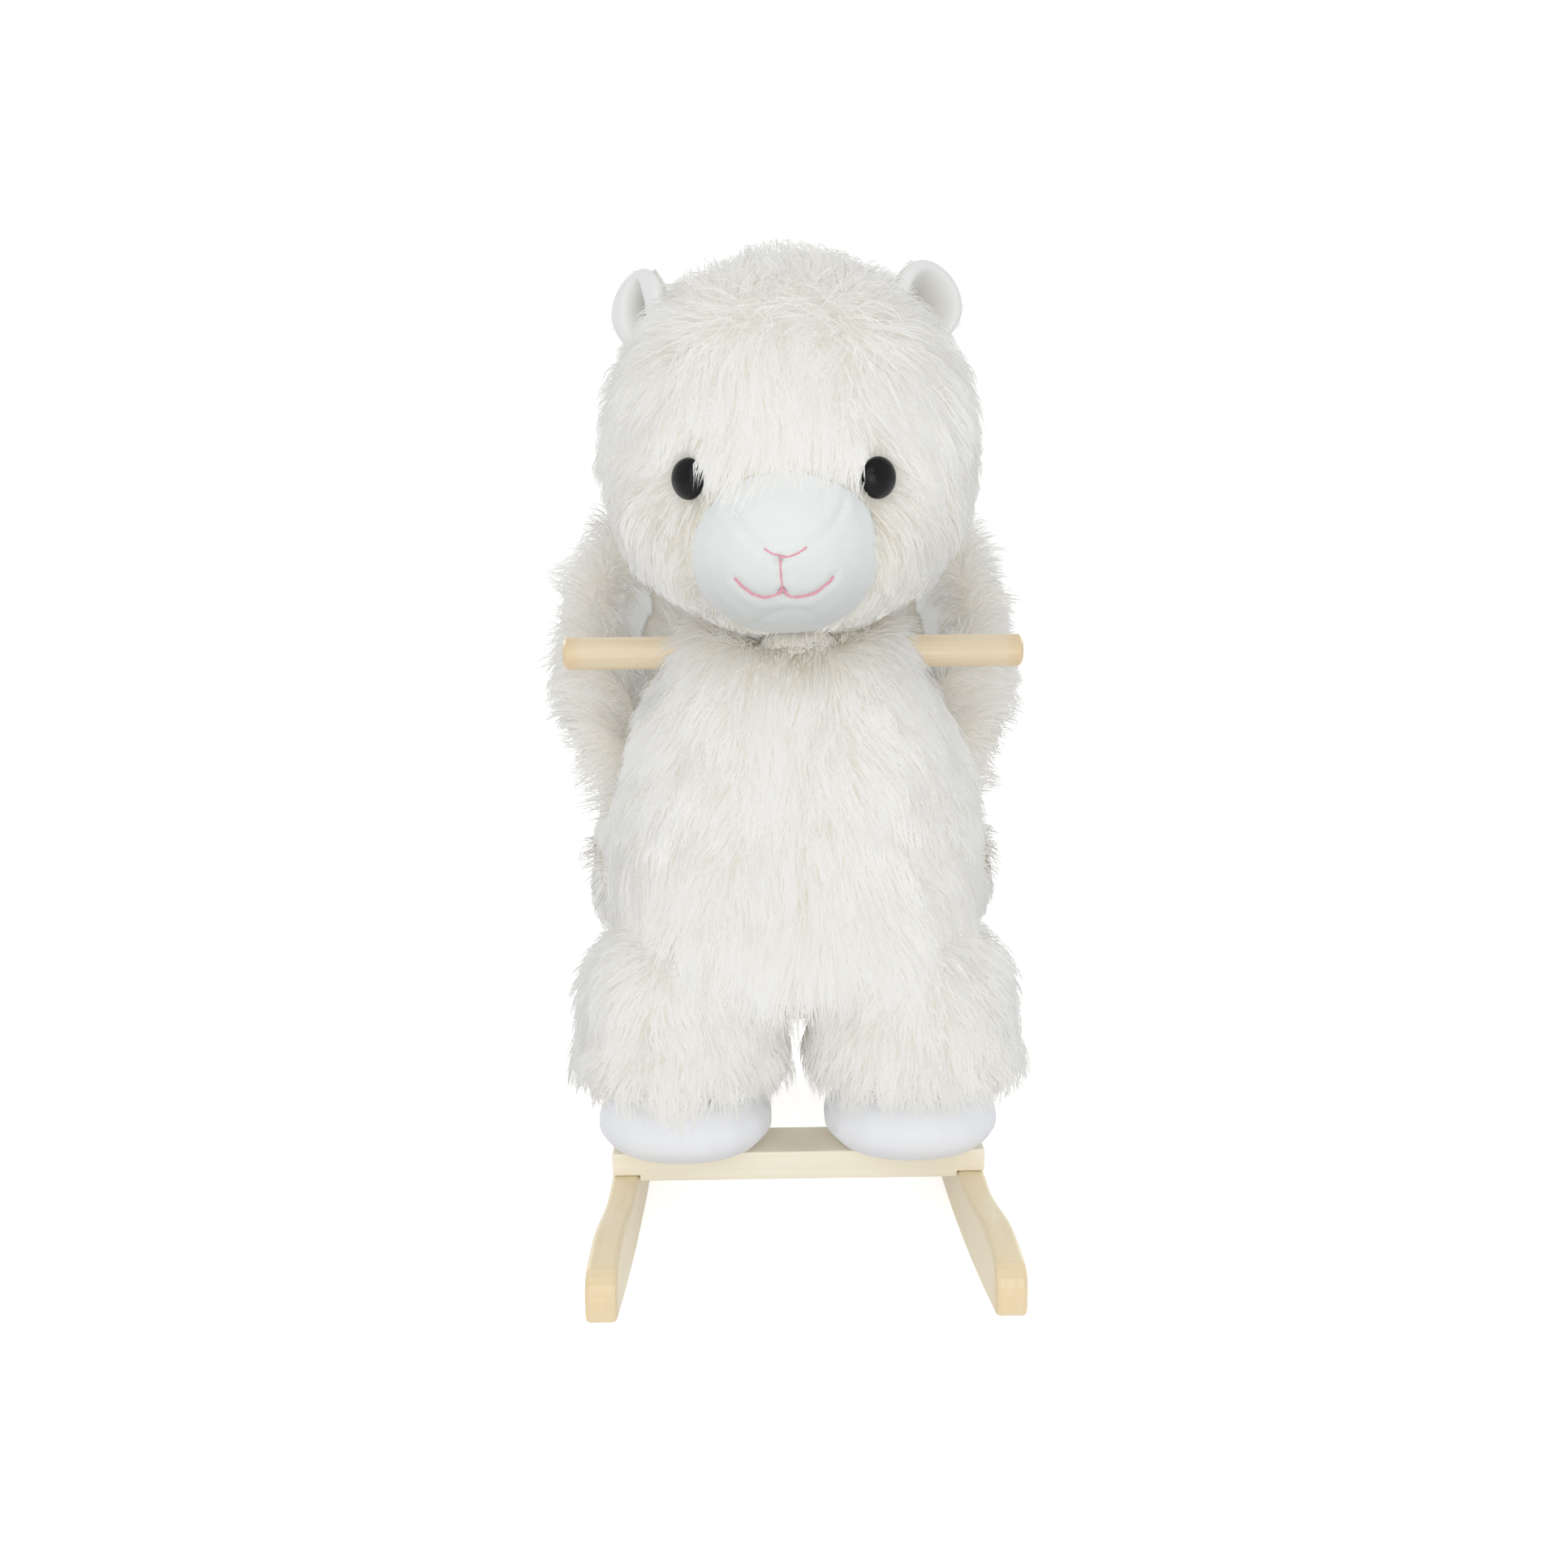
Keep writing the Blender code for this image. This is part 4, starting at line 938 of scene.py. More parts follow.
cushion = remeshed("seat_cushion_velour", "seat_cushion", 0.005, 6, 0.003)
start = numbers(cushion.data.vertices, "co")
cloth = cushion.modifiers.new("cloth", "CLOTH")
cloth.settings.use_pressure = True
cloth.settings.uniform_pressure_force = CUSHION_PRESSURE
cloth.settings.effector_weights.gravity = 0.0
cloth.point_cache.frame_end = CUSHION_FRAMES
for step in range(1, CUSHION_FRAMES + 1):
    bpy.context.scene.frame_set(step)
only(cushion)
bpy.ops.object.modifier_apply(modifier="cloth")
moved = numbers(cushion.data.vertices, "co") - start
size = np.linalg.norm(moved, axis=1)
moved *= np.minimum(1, CUSHION_MOST_MOVE / np.maximum(size, 1e-9))[:, None]
cushion.data.vertices.foreach_set("co", (start + moved).ravel())
bpy.context.scene.frame_set(1)
finer = cushion.modifiers.new("finer", "SUBSURF")
finer.levels = finer.render_levels = 1
settle(cushion)
dress(cushion, seat_velour, "velour", "seat_cushion")
print("cushion faces:", len(cushion.data.polygons))

# %% Lining of the seat wall
LINING_THICKNESS = 0.0025
LINING_BELOW_RIM = 0.038
LINING_FULL_HEIGHT = 0.40  # below this the fur rim reaches further in
LINING_SET_BACK = 0.8      # share of the depth below the rim that it keeps from the wall's front ends
LINING_LOW_SET_BACK = 1.2  # and this much more for each metre below the full height
LINING_FACING = 0.45       # least share by which it faces the seat's middle
LINING_OUTWARD = 0.6       # Solidify's offset: most of the thickness lies on the seat's side
RAY_DEPTH = 0.018          # rays up and forward start this far inside the wall
seat_low, seat_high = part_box("seat_back_padding")
seat_x = (seat_low.x + seat_high.x) / 2
SEAT_MIDDLE = Vector((seat_x, seat_low.y + 0.045, 0.0))   # what the wall bends round

wall_tree = tree_of(covers["seat_back_padding"])


def below_rim(place, normal):
    """Whether a place on the wall's inner side is deep enough for the lining."""
    within = Vector(place) - Vector(normal) * RAY_DEPTH
    top, _, _, _ = wall_tree.ray_cast(within, Vector((0, 0, 1)))
    front, _, _, _ = wall_tree.ray_cast(within, Vector((0, -1, 0)))
    if top is None or front is None:
        return False
    lower = max(0.0, LINING_FULL_HEIGHT - within.z)
    set_back = LINING_BELOW_RIM * LINING_SET_BACK + LINING_LOW_SET_BACK * lower
    return top.z - within.z > LINING_BELOW_RIM and within.y - front.y > set_back


edit = bmesh.new()
edit.from_mesh(lining.data)
edit.normal_update()
outer = []
for face in edit.faces:
    middle = face.calc_center_median()
    inward = SEAT_MIDDLE - middle
    inward.z = 0.0
    facing = face.normal.dot(inward.normalized())
    if facing < LINING_FACING or not below_rim(middle, face.normal):
        outer.append(face)
bmesh.ops.delete(edit, geom=outer, context="FACES")
edit.to_mesh(lining.data)
edit.free()
only(lining)
thick = lining.modifiers.new("thick", "SOLIDIFY")
thick.thickness = LINING_THICKNESS
thick.offset = LINING_OUTWARD
settle(lining)
dress(lining, seat_velour, "velour")
print("lining faces:", len(lining.data.polygons))

# %% [markdown]
# ## Fur
# Long-pile plush is tens of thousands of fine locks, each a bundle of fibres that thins to a point.
# Operators can't place so many, so the locks are computed as arrays: roots are scattered evenly over
# a cover, each lock leaves the backing, bends over and lies along a comb direction, and neighbours
# are drawn together into tufts. A lock is a thin three-sided tube, closed at both ends: sixteen
# triangles in the long top coat and ten in the shorter undercoat.
#
# Fine hair scatters light, so that it looks lit like the skin below it. The locks' normals are
# therefore turned most of the way to the skin's, except on sides that face away from it, and the
# locks cast no shadow on each other. The covers under them still do.

# %% Fur helpers
FUR_PROUD = 0.017          # no lock goes further out of the CAD's box
FUR_LOW = np.array(cad_box[0]) - FUR_PROUD
FUR_HIGH = np.array(cad_box[1]) + FUR_PROUD
NEIGHBOUR_REACH = 0.06     # a root further than this from a cover counts as outside it
SLANTED = Vector((0.31, 0.17, 0.94)).normalized()
FUR_GAP = 0.0006           # a resting lock is this far from the cover at least,
FUR_GAP_CHANCE = 0.0016    # and up to this much more

rng = np.random.default_rng(11)


def unit(vectors):
    """Vectors of the same directions, one long."""
    return vectors / np.maximum(np.linalg.norm(vectors, axis=-1, keepdims=True), 1e-9)


def near(values, middle, width, power=2):
    """1 at the middle, and falling smoothly to 0 beyond the width."""
    return np.exp(-np.abs((values - middle) / width) ** power)


def ripple(points, wavelength):
    """A smooth random value for each point, mostly -1 to 1, that changes over a wavelength."""
    total = np.zeros(len(points))
    for _ in range(7):
        wave = unit(rng.normal(size=3)) * 2 * pi / (wavelength * rng.uniform(0.7, 1.4))
        total += np.sin(points @ wave + rng.uniform(0, 2 * pi))
    return total / 2.6


def scatter(cover, density):
    """Places and normals spread evenly over a cover, in random order."""
    mesh = cover.data
    mesh.calc_loop_triangles()
    places = numbers(mesh.vertices, "co")
    normals = numbers(mesh.vertices, "normal")
    corners = np.empty(len(mesh.loop_triangles) * 3, dtype=np.int32)
    mesh.loop_triangles.foreach_get("vertices", corners)
    corners = corners.reshape(-1, 3)
    a, b, c = (places[corners[:, k]] for k in range(3))
    area = np.linalg.norm(np.cross(b - a, c - a), axis=1) / 2
    count = int(round(area.sum() * density, -2))
    steps = (np.arange(count) + rng.random(count)) * area.sum() / count
    face = np.searchsorted(np.cumsum(area), steps).clip(max=len(area) - 1)
    share = rng.random((count, 2))
    over = share.sum(1) > 1
    share[over] = 1 - share[over]
    weights = np.column_stack((1 - share.sum(1), share))[:, :, None]
    order = rng.permutation(count)
    roots = (places[corners[face]] * weights).sum(1)[order]
    return roots, unit((normals[corners[face]] * weights).sum(1))[order]


trees = {name: tree_of(cover) for name, cover in covers.items()}
trees["muzzle"] = tree_of(muzzle)
for side, _ in SIDES:
    trees[f"{side}_ear"] = tree_of(ears[side])
print("fur helpers ready for:", list(trees))


# %% Keeping clear, combing and tufting
def clear_of(tree, points, margin):
    """True for each point that is outside a closed cover and further from it than a margin."""
    free = np.ones(len(points), bool)
    for k, point in enumerate(points):
        place, _, _, distance = tree.find_nearest(Vector(point), max(NEIGHBOUR_REACH, margin))
        if place is None:
            continue
        crossings = 0
        start = Vector(point)
        while True:
            hit, _, _, _ = tree.ray_cast(start, SLANTED)
            if hit is None:
                break
            crossings += 1
            start = hit + SLANTED * 0.00001
        free[k] = crossings % 2 == 0 and distance > margin
    return free


def free_of(roots, **margins):
    """True for each root that is clear of every stuffed part named, by its margin."""
    free = np.ones(len(roots), bool)
    for part, margin in margins.items():
        free &= clear_of(trees[part], roots, margin)
    return free


def flow_to(x, y, z):
    """Flow directions from numbers or arrays along X, Y and Z."""
    return np.column_stack(np.broadcast_arrays(x, y, z))


def combed(points, normals, flow, wander, wavelength):
    """Comb directions: the flow laid along the skin, turned a little by smooth and by single chance."""
    along = unit(flow - (flow * normals).sum(1, keepdims=True) * normals)
    across = np.cross(normals, along)
    turn = wander * ripple(points, wavelength) + 0.35 * wander * rng.normal(size=len(points))
    return along * np.cos(turn)[:, None] + across * np.sin(turn)[:, None]


def tufted(strands, roots, steps, spacing, pull):
    """Draw locks towards the nearest chosen lock, more at their tips. Also gives each its leader."""
    few = max(1, int(len(roots) * spacing))
    tree = KDTree(few)
    for k in range(few):
        tree.insert(roots[k], k)
    tree.balance()
    leader = np.array([tree.find(root)[1] for root in roots])
    ease = pull * steps ** 1.4
    return strands + (strands[leader] - strands) * ease[None, :, None], leader


def rested(strands, tree, low, high):
    """Push the points of locks that fall into a cover out onto it."""
    inside = ((strands > low) & (strands < high)).all(2)
    for lock, step in np.argwhere(inside):
        place, normal, _, _ = tree.find_nearest(Vector(strands[lock, step]))
        gap = FUR_GAP + FUR_GAP_CHANCE * rng.random()
        if (Vector(strands[lock, step]) - place).dot(normal) < gap:
            strands[lock, step] = place + normal * gap
    return strands


print("comb helpers ready")

# %% A lock's line and its mesh
LONG_STEPS = np.array([0.0, 0.38, 0.72, 1.0])
SHORT_STEPS = np.array([0.0, 0.55, 1.0])
TONE_STEP = 0.006          # width of one side of a lock on its map
TONE_CHANCE = 0.08         # how far tones vary from lock to lock,
TUFT_CHANCE = 0.09         # and from tuft to tuft
SKIN_SHARE = 0.80          # how far a lock is lit like the skin under it, as fine hair is
EDGE_REACH = 0.40          # a side of a lock that faces away from the skin by this much is lit as it lies
LEAST_UP = -0.2            # a lock under a curve is lit no more from below than this
TUFT_TILT = 0.11


def tube_faces(rings):
    """Corners of a closed three-sided tube that ends in a point, and their places on its map."""
    around = [(r, k, (k + 1) % 3) for r in range(rings) for k in range(3)]
    faces = [(3 * r + k, 3 * r + n, 3 * r + 3 + n, 3 * r + 3 + k) for r, k, n in around[:-3]]
    faces += [(3 * r + k, 3 * r + n, 3 * rings) for r, k, n in around[-3:]] + [(0, 2, 1)]
    sides = [[(k, r), (k + 1, r), (k + 1, r + 1), (k, r + 1)] for r, k, _ in around[:-3]]
    sides += [[(k, r), (k + 1, r), (k + 0.5, r + 1)] for r, k, _ in around[-3:]]
    return faces, [corner for side in sides for corner in side] + [(0, -0.1), (1, -0.1), (0.5, 0)]


def strands_of(roots, normals, along, length, rise, bend, tone, steps, pulls, spread, over):
    """Each lock's middle line, which rises, bends over and joins a tuft, its tone and its leader."""
    count = len(roots)
    t = steps[None, :, None]
    reach = (length * rng.uniform(0.7, 1.2, count))[:, None, None] * t ** 1.1
    sag = reach ** 2 / (2 * np.broadcast_to(bend, count)[:, None, None])
    lift = (rise * rng.uniform(0.6, 1.2, count))[:, None, None] * (1 - (1 - t) ** 2.2) - sag
    curl = (spread * rng.normal(size=count))[:, None, None] * np.sin(t * 2.6)
    across = np.cross(normals, along)
    strands = roots[:, None] + normals[:, None] * lift + along[:, None] * reach + across[:, None] * curl
    chance = rng.normal(size=count)
    tones = tone + TONE_CHANCE * rng.normal(size=count)
    for spacing, pull in pulls:
        strands, leader = tufted(strands, roots, steps, spacing, pull)
        tones += TUFT_CHANCE * chance[leader]
    if over:
        strands = rested(strands, *over)
    return np.clip(strands, FUR_LOW, FUR_HIGH), tones, leader


def tube_mesh(name, vertices, count, faces):
    """A mesh of many locks that all have the same faces."""
    corners = np.array([corner for face in faces for corner in face])
    starts = np.cumsum([0] + [len(face) for face in faces])
    lock = np.arange(count)[:, None]
    mesh = bpy.data.meshes.new(name)
    mesh.vertices.add(len(vertices))
    mesh.vertices.foreach_set("co", vertices.ravel())
    mesh.loops.add(count * len(corners))
    mesh.loops.foreach_set("vertex_index", (lock * (len(vertices) // count) + corners).ravel())
    mesh.polygons.add(count * len(faces))
    mesh.polygons.foreach_set("loop_start", (lock * starts[-1] + starts[:-1]).ravel())
    mesh.update(calc_edges=True)
    return mesh, corners, starts


def mapped(mesh, lock_map, tones, steps):
    """A map for the locks: across it lies a lock's tone, and up it the height along the lock."""
    lock_map = np.array(lock_map)
    heights = np.interp(lock_map[:, 1], np.arange(-1, len(steps)), np.concatenate(([-0.1], steps)))
    places = np.empty((len(tones), len(lock_map), 2))
    places[:, :, 0] = np.clip(tones, 0.03, 0.95)[:, None] + lock_map[None, :, 0] * TONE_STEP
    places[:, :, 1] = 0.02 + 0.97 * heights
    mesh.uv_layers.new(name="OFBake").uv.foreach_set("vector", places.ravel())


def lit_like_skin(mesh, own, normals, starts):
    """Turn the locks' normals towards the skin's, except on sides that face away from it."""
    lit = normals[:, None]
    side_ways = unit(np.add.reduceat(own, starts[:-1], axis=1))
    facing = np.repeat((side_ways * lit).sum(2), np.diff(starts), axis=1)[:, :, None]
    skin = SKIN_SHARE * (1 - ramp(-facing, 0, EDGE_REACH))
    mesh.normals_split_custom_set(unit(own * (1 - skin) + lit * skin).reshape(-1, 3))


print("triangles in a long and a short lock:",
      [sum(len(face) - 2 for face in tube_faces(len(steps) - 1)[0]) for steps in (LONG_STEPS, SHORT_STEPS)])

# %% Locks and coats
UNDERCOAT_SHARE = 0.42     # of the locks
UNDERCOAT_LENGTH = 0.75    # and as shares of the long coat's length and rise
UNDERCOAT_RISE = 0.72
FACING_DOWN = -0.45        # where the skin faces down by more than this, the fur gets shorter


def locks(name, roots, normals, along, length, rise, width, bend, tone, steps, pulls, spread, over):
    """One piece of fur: a tapered tube for each root."""
    count = len(roots)
    rings = len(steps) - 1
    strands, tones, leader = strands_of(roots, normals, along, length, rise, bend, tone, steps, pulls,
                                        spread, over)
    direction = unit(np.gradient(strands, axis=1))
    side = unit(np.cross(direction, normals[:, None]))
    up = np.cross(direction, side)
    turn = 2 * pi * np.arange(3) / 3 + 0.5
    taper = (1 - steps[:-1] ** 1.6) * (0.8 + 0.5 * steps[:-1])
    radius = (width / 2 * rng.uniform(0.7, 1.3, count))[:, None] * taper[None]
    around = np.cos(turn)[:, None] * side[:, :rings, None] + np.sin(turn)[:, None] * up[:, :rings, None]
    ring = strands[:, :rings, None] + around * radius[:, :, None, None]
    vertices = np.concatenate((ring.reshape(count, 3 * rings, 3), strands[:, rings:]), axis=1)

    faces, lock_map = tube_faces(rings)
    mesh, corners, starts = tube_mesh(name, vertices.reshape(-1, 3), count, faces)
    mapped(mesh, lock_map, tones, steps)
    obj = bpy.data.objects.new(name, mesh)
    bpy.context.scene.collection.objects.link(obj)
    dress(obj, fur, "fur")
    obj.visible_shadow = False
    obj.visible_diffuse = False
    own = np.concatenate((around.reshape(count, 3 * rings, 3), direction[:, rings:]), axis=1)[:, corners]
    lit = normals.copy()
    lit[:, 2] = np.maximum(lit[:, 2], LEAST_UP)
    lit = unit(lit + TUFT_TILT * rng.normal(size=(count, 3))[leader])
    lit_like_skin(mesh, own, lit, starts)


def coat(name, skin, length, rise, bend, tone=0.5, fine=1.0, over=None):
    """Fur in two layers: a shorter, thicker undercoat and the long fine hair over it.

    The skin is the roots, their normals and their comb directions."""
    roots, normals, along = skin
    count = len(roots)
    swell = (1 + 0.16 * ripple(roots, 0.045)) * (1 - 0.6 * ramp(normals[:, 2], FACING_DOWN, -0.3))
    length, rise, bend, tone = (np.broadcast_to(value, count)
                                for value in (length * swell, rise * swell, bend, tone))
    few = int(count * UNDERCOAT_SHARE)
    low = slice(0, few)
    high = slice(few, None)
    locks(f"{name}_undercoat", roots[low], normals[low], along[low], length[low] * UNDERCOAT_LENGTH,
          rise[low] * UNDERCOAT_RISE, 0.0018 / fine, bend[low], tone[low] - 0.06, SHORT_STEPS,
          ((0.4, 0.2),), 0.003, over)
    locks(name, roots[high], normals[high], along[high], length[high], rise[high], 0.0010 / fine,
          bend[high], tone[high] + 0.05, LONG_STEPS, ((0.30, 0.30), (0.04, 0.38)), 0.0028, over)
    print(name, "locks:", count, "triangles:", few * 10 + (count - few) * 16)


print("coat helpers ready")

# %% [markdown]
# ## Head and ears
# The hair parts on top of the head and is combed down the sides and over the brow, where its tips
# rest on the muzzle. Locks that would cover an eye are cut shorter, as a toy maker trims them, and a
# small tuft is combed over the left eye's inner corner. The backs of the ears have short fur.

# %% Density, and trimming round the eyes
FRONT_DENSITY = 168000.0   # locks per square metre
BACK_DENSITY = 101000.0
BACK_FINENESS = 0.70       # the back's locks are thicker, by one over this
EYE_CLEAR = 0.0120         # no lock's root is nearer to an eye's middle than this
# A lock is cut where it would lie nearer to an eye's middle than this, but not on the inner side
# beyond the second measure
EYE_BARE = {"left": 0.0100, "right": 0.0118}
EYE_INNER = {"left": 0.0075, "right": 0.0100}
# Where along a lock that is looked at, and how long the lock is after a cut, as shares of its length
EYE_CUTS = ((1.15, 0.84), (1.02, 0.76), (0.90, 0.66), (0.78, 0.56), (0.66, 0.46), (0.55, 0.36),
            (0.45, 0.28), (0.35, 0.22))


def density_of(end):
    """Locks per square metre and their fineness, for the front or the back."""
    return (FRONT_DENSITY, 1.0) if end == "front" else (BACK_DENSITY, BACK_FINENESS)


def cut_over_eyes(roots, along, length):
    """Shorter lengths for the locks that would lie over an eye."""
    full = length
    for side, sx in SIDES:
        for share, shorter in EYE_CUTS:
            from_eye = roots + along * (full * share)[:, None] - eye_places[side]
            over_eye = np.hypot(from_eye[:, 0], from_eye[:, 2]) < EYE_BARE[side]
            over_eye &= (from_eye[:, 0] * sx > -EYE_INNER[side]) & (from_eye[:, 1] < 0.03)
            length = np.where(over_eye, full * shorter, length)
    return length


print("locks per square metre:", FRONT_DENSITY, BACK_DENSITY)

# %% Head fur
FACE_MIDDLE = -0.003
PARTING_HALF = 0.30        # the parting's reach to each side, as a share of the head,
PARTING_FORWARD = -0.72    # and where it points
PARTING_UP = 0.70
FRINGE = (0.560, 0.034)    # the middle height and half height of the brow's fringe,
CHEEK = (0.512, 0.028)     # the cheeks,
JAW = (0.435, 0.022)       # the jaw
NAPE = (0.455, 0.032)      # and the nape
MUZZLE_HALF = 0.055
# the darker fur beside the muzzle is painted shade, for the shade in the crease there
MUZZLE_TOP = 0.50          # below this the fur beside the muzzle is combed away from it and is darker

down = np.array([0, 0, -1.0])
muzzle_low, muzzle_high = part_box("muzzle")
muzzle_centre = np.array((muzzle_low + muzzle_high) / 2)
brow_rest = (trees["muzzle"], np.array(muzzle_low) - 0.003, np.array(muzzle_high) + np.array((0.01, 0, 0.02)))
for end in ("front", "back"):
    density, fine = density_of(end)
    roots, normals = scatter(covers["head"], density)
    keep = (roots[:, 1] < head_centre.y) == (end == "front")
    roots, normals = roots[keep], normals[keep]
    keep = free_of(roots, muzzle=0.001, chest_and_neck=0.002, left_ear=0.001, right_ear=0.001)
    for side, _ in SIDES:
        keep &= np.linalg.norm(roots - eye_places[side], axis=1) > EYE_CLEAR
    roots, normals = roots[keep], normals[keep]
    x, y, z = roots.T
    across = x - FACE_MIDDLE
    from_centre = unit(roots - np.array(head_centre))
    forward = ramp(from_centre[:, 1], 0, -0.5)
    parting = unit(flow_to(np.clip(from_centre[:, 0], -PARTING_HALF, PARTING_HALF), PARTING_FORWARD,
                           PARTING_UP))
    flow = (parting * from_centre).sum(1, keepdims=True) * from_centre - parting
    at_parting = near(np.linalg.norm(flow, axis=1), 0, 0.22)
    flow = unit(flow + 0.16 * at_parting[:, None] * rng.normal(size=flow.shape))
    fringe = forward * near(z, *FRINGE) * near(x, -0.004, 0.080, 4)
    cheek = forward * near(z, *CHEEK) * ramp(abs(across), 0.055, 0.02)
    from_muzzle = roots - muzzle_centre
    beside = near(np.maximum(np.linalg.norm(from_muzzle, axis=1) - MUZZLE_HALF, 0), 0, 0.022, 1)
    jaw = near(z, *JAW) * (z < 0.47)
    nape = near(z, *NAPE) * (y > -0.08)
    flow += (0.20 + 1.2 * fringe + 1.2 * jaw + 2.0 * nape)[:, None] * down
    flow[:, 0] += np.sign(across) * (0.8 * cheek + 0.25 * fringe * (abs(across) > 0.03))
    flow += unit(from_muzzle) * (beside * (z < MUZZLE_TOP))[:, None] * 0.5
    for side, sx in SIDES:
        from_eye = roots - eye_places[side]
        outer = np.clip(from_eye[:, 0] * sx / 0.012 + 0.8, 0, 1)
        flow += unit(from_eye) * (outer * near(np.linalg.norm(from_eye, axis=1), 0, 0.024))[:, None] * 1.3
    along = combed(roots, normals, flow, 0.30, 0.05)
    length = 0.030 - 0.006 * beside + 0.024 * fringe + 0.010 * jaw + 0.026 * nape
    for side, _ in SIDES:
        from_ear = np.linalg.norm(roots - np.array(EAR_MIDDLE[side]), axis=1)
        length *= np.clip((from_ear - 0.006) / 0.035, 0.45, 1)
        at_eye = near(np.linalg.norm(roots - eye_places[side], axis=1), 0, 0.022)
        length *= 1 - 0.35 * at_eye * (1 - fringe)
    rise = 0.0125 + 0.006 * fringe + 0.002 * cheek + 0.002 * at_parting
    bend = 0.115 + 0.22 * fringe + 0.1 * jaw + 0.3 * nape
    # painted shade: the fur beside the muzzle, below its top, is darker, for the shade in the crease there
    tone = 0.44 - 0.26 * beside * (z < MUZZLE_TOP) + 0.08 * fringe
    cut = cut_over_eyes(roots, along, length)
    coat(f"head_fur_{end}", (roots, normals, along), cut, rise * (cut / length) ** 0.7, bend, tone, fine,
         brow_rest if end == "front" else None)

# %% Tufts over the eyes' inner corners
TUFT_ROOT = 0.0080         # how far each tuft's roots spread
TUFT_INWARD = 0.0125       # how far inward and up from the eye they are
TUFT_UP = 0.0150
TUFT_INNER = 0.0066        # a lock that would come further out than this from the eye's middle is left out
TUFT_REACHES = (0.010, 0.018, 0.024)
TUFT_LENGTH = {"left": 0.0190, "right": 0.0115}  # the left eye's corner is covered, the right one's barely

for side, sx in SIDES:
    eye_place = eye_places[side]
    roots, normals = scatter(covers["head"], FRONT_DENSITY * 6)
    from_brow = roots - eye_place - np.array((-sx * TUFT_INWARD, 0, TUFT_UP))
    at_brow = (np.hypot(from_brow[:, 0], from_brow[:, 2]) < TUFT_ROOT) & (roots[:, 1] < head_centre.y)
    roots, normals = roots[at_brow], normals[at_brow]
    along = combed(roots, normals, np.array((sx * 0.16, 0.0, -1.0)), 0.10, 0.05)
    keep = np.ones(len(roots), bool)
    for reach in TUFT_REACHES:
        keep &= (roots + along * reach - eye_place)[:, 0] * sx < -TUFT_INNER
    low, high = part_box(f"{side}_eye")
    eye_rest = (tree_of(eyes[side]), np.array(low) - 0.002, np.array(high) + 0.002)
    coat(f"{side}_brow_tuft", (roots[keep], normals[keep], along[keep]), TUFT_LENGTH[side], 0.012, 0.30,
         0.55, over=eye_rest)

# %% Ear fur
for side, _ in SIDES:
    roots, normals = scatter(ears[side], FRONT_DENSITY * 2.0)
    facing = Matrix.Rotation(EAR_TURN[side], 3, "Z") @ Vector((0, -1, 0))
    behind = normals @ np.array(facing) < -0.40
    roots, normals = roots[behind], normals[behind]
    along = combed(roots, normals, (roots - np.array(EAR_MIDDLE[side])) * 12 + down, 0.35, 0.03)
    coat(f"{side}_ear_fur", (roots, normals, along), 0.0075, 0.0024, 0.05, 0.50, 1.5)

# %% [markdown]
# ## Body, legs and seat
# The belly's fur hangs over the tops of the legs, and each leg's fur flares over the foot. The seat
# wall is furred outside and over its rim. Roots that lie inside a neighbouring stuffed part are left
# out, because no fur can grow there.

# %% Chest fur
HEM_HEIGHT = 0.235         # where the belly's fur hangs over the legs
BACK_HEM_HEIGHT = HEM_HEIGHT - 0.01   # and the body's
LEG_MARGINS = {f"{leg}_leg": 0.001 for leg in LEGS}


def portion(skin, part):
    """The roots, normals and comb directions of one part of a skin."""
    return [values[part] for values in skin]


roots, normals = scatter(covers["chest_and_neck"], FRONT_DENSITY)
keep = free_of(roots, head=0.0015, body=0.001, **LEG_MARGINS)
roots, normals = roots[keep], normals[keep]
x, y, z = roots.T
flow = flow_to(x * 2.2 + 0.05 * np.sign(x - 0.002), 0.0, -1.0)
skin = (roots, normals, combed(roots, normals, flow, 0.22, 0.06))
hem = near(z, HEM_HEIGHT, 0.035)
# painted shade: the locks in the hollow under the chin are darker, for the shade there
neck = near(z, 0.402, 0.016) * near(x, 0.002, 0.045)
seam = near(x, 0.002 + 0.004 * np.sin(z * 60), 0.0028) * near(z, 0.285, 0.07, 4)
longer = 0.017 * hem + 0.030 * near(x, 0.0, 0.035) * near(z, 0.195, 0.03)
tone = 0.60 - 0.56 * neck - 0.28 * seam
for name, part in (("chest_fur_left", x < 0), ("chest_fur_right", x >= 0)):
    coat(name, portion(skin, part), 0.030 + longer[part], 0.0115 + 0.003 * hem[part], 0.3, tone[part])

# %% Body fur
roots, normals = scatter(covers["body"], BACK_DENSITY * 1.2)
keep = free_of(roots, chest_and_neck=0.001, seat_back_padding=0.002, **LEG_MARGINS)
cushion_low, cushion_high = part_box("seat_cushion")
x, y, z = roots.T
under_cushion = (abs(x) < cushion_high.x) & (y > cushion_low.y) & (y < cushion_high.y)
keep &= ~((z > cushion_low.z - 0.004) & under_cushion)
roots, normals = roots[keep], normals[keep]
x, y, z = roots.T
skin = (roots, normals, combed(roots, normals, flow_to(x * 0.4, 0.10, -1.0), 0.22, 0.06))
hem = near(z, BACK_HEM_HEIGHT, 0.035)
for name, part in (("body_fur_left", x < seat_x), ("body_fur_right", x >= seat_x)):
    coat(name, portion(skin, part), 0.030 + 0.010 * hem[part], 0.0115 - 0.002 * hem[part], 0.08, 0.60, 0.85)

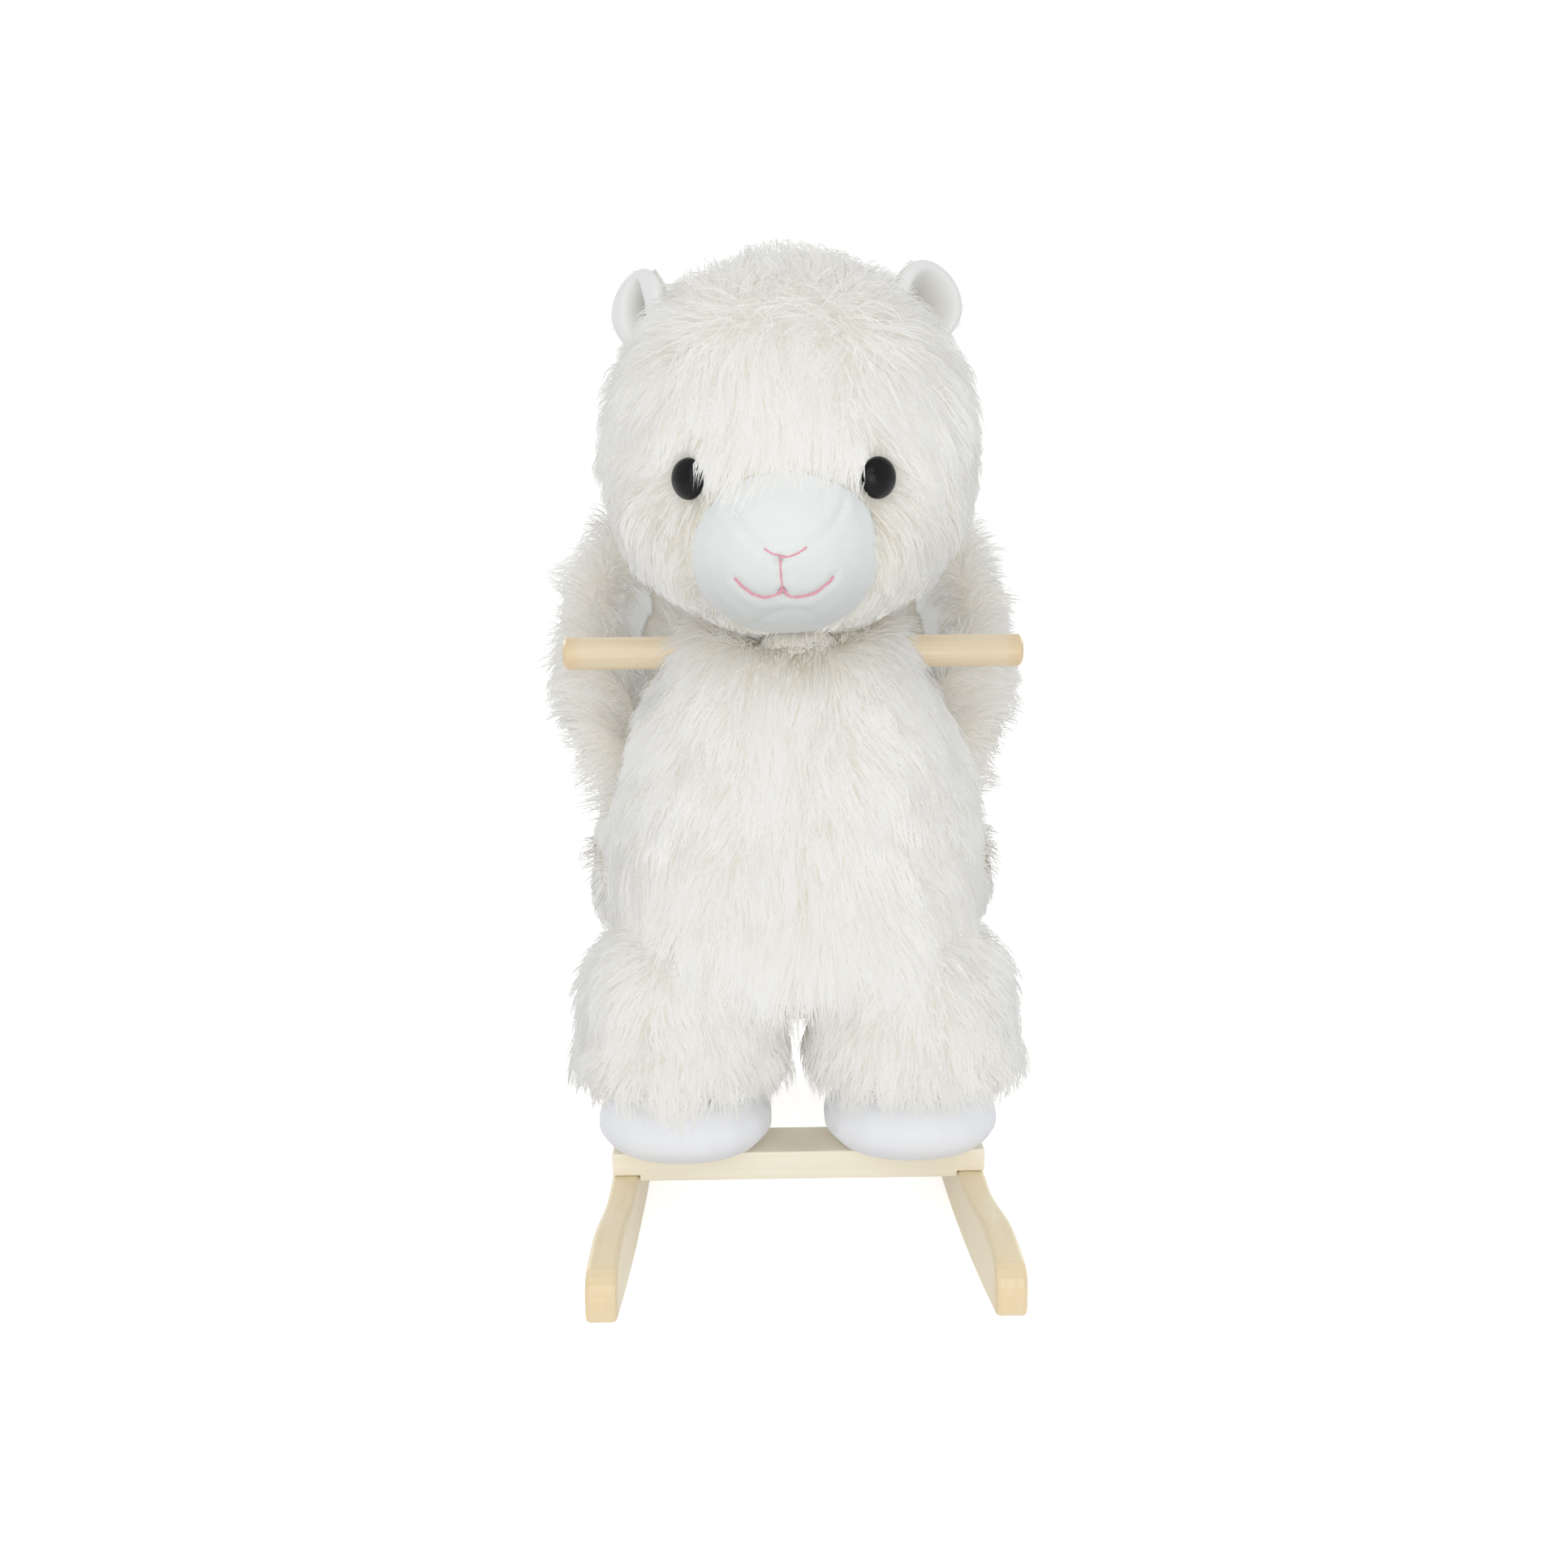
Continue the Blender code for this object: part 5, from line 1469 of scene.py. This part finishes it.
# %% Leg fur
for leg in LEGS:
    density, fine = density_of(leg.split("_")[0])
    places = numbers(covers[f"{leg}_leg"].data.vertices, "co")
    low, high = places.min(0), places.max(0)
    middle = (low + high) / 2
    roots, normals = scatter(covers[f"{leg}_leg"], density)
    keep = free_of(roots, body=0.001, chest_and_neck=0.001) & (normals[:, 2] > -0.80)
    roots, normals = roots[keep], normals[keep]
    away = roots - middle
    along = combed(roots, normals, flow_to(away[:, 0] * 10, away[:, 1] * 8, -1.0), 0.30, 0.05)
    cuff = near(roots[:, 2], low[2] + 0.020, 0.025)
    inner = ramp(-away[:, 0] * np.sign(middle[0]), 0, 0.04)
    length = 0.030 + 0.003 * cuff - 0.008 * inner * (1 - cuff)
    coat(f"{leg}_leg_fur", (roots, normals, along), length, 0.0125 - 0.003 * inner * (1 - cuff),
         0.12 + 0.25 * cuff, 0.62, fine)

# %% Seat wall fur
roots, normals = scatter(covers["seat_back_padding"], FRONT_DENSITY * 0.88)
x, y, z = roots.T
inward = np.array(SEAT_MIDDLE) - roots
inward[:, 2] = 0
facing = (unit(inward) * normals).sum(1)
at_board = (abs(x) < 0.069) & (y > 0.156) & (y < 0.178) & (z < 0.465) & (normals[:, 1] < 0.2)
deep = np.array([below_rim(place, normal) for place, normal in zip(roots, normals)])
keep = ((facing < LINING_FACING) | ~deep) & ~at_board & free_of(roots, body=0.001)
roots, normals, inward = roots[keep], normals[keep], inward[keep]
x, y, z = roots.T
flow = unit(-inward) + np.array([0, 0.30, -0.42])
flow[(z < 0.330) & (y > 0.11)] = down   # the lower edge's fur hangs over the crease below it
skin = (roots, normals, combed(roots, normals, flow, 0.25, 0.06))
third = np.digitize(x, (seat_x - 0.1, seat_x + 0.1))
for k, (name, fine) in enumerate((("seat_fur_left", 1.0), ("seat_fur_back", 0.85), ("seat_fur_right", 1.0))):
    part = third == k
    if name == "seat_fur_back":
        part &= np.arange(len(part)) % 3 > 0   # fewer, thicker locks, which are seen only from behind
    foot = near(z[part], 0.285, 0.025)
    coat(name, portion(skin, part), 0.030 + 0.014 * foot, 0.0125 - 0.002 * foot, 0.14, 0.58, fine)

roots, normals = scatter(covers["seat_back_padding"], FRONT_DENSITY * 1.2)
x, y, z = roots.T
crease = (abs(x) < 0.082) & (y > 0.165) & (z < 0.325)   # a hem that hides where the wall meets the body
roots, normals = roots[crease], normals[crease]
along = combed(roots, normals, down, 0.10, 0.06)
coat("seat_fur_hem", (roots, normals, along), 0.032, 0.007, 0.12, 0.58, 0.9)

# %% [markdown]
# ## Finish
# The triangles of everything that is shown are counted.

# %% Triangles shown
total = sum(len(p.vertices) - 2 for o in bpy.data.objects if o.type == "MESH" and not o.hide_render
            for p in o.data.polygons)
print("triangles shown:", total)
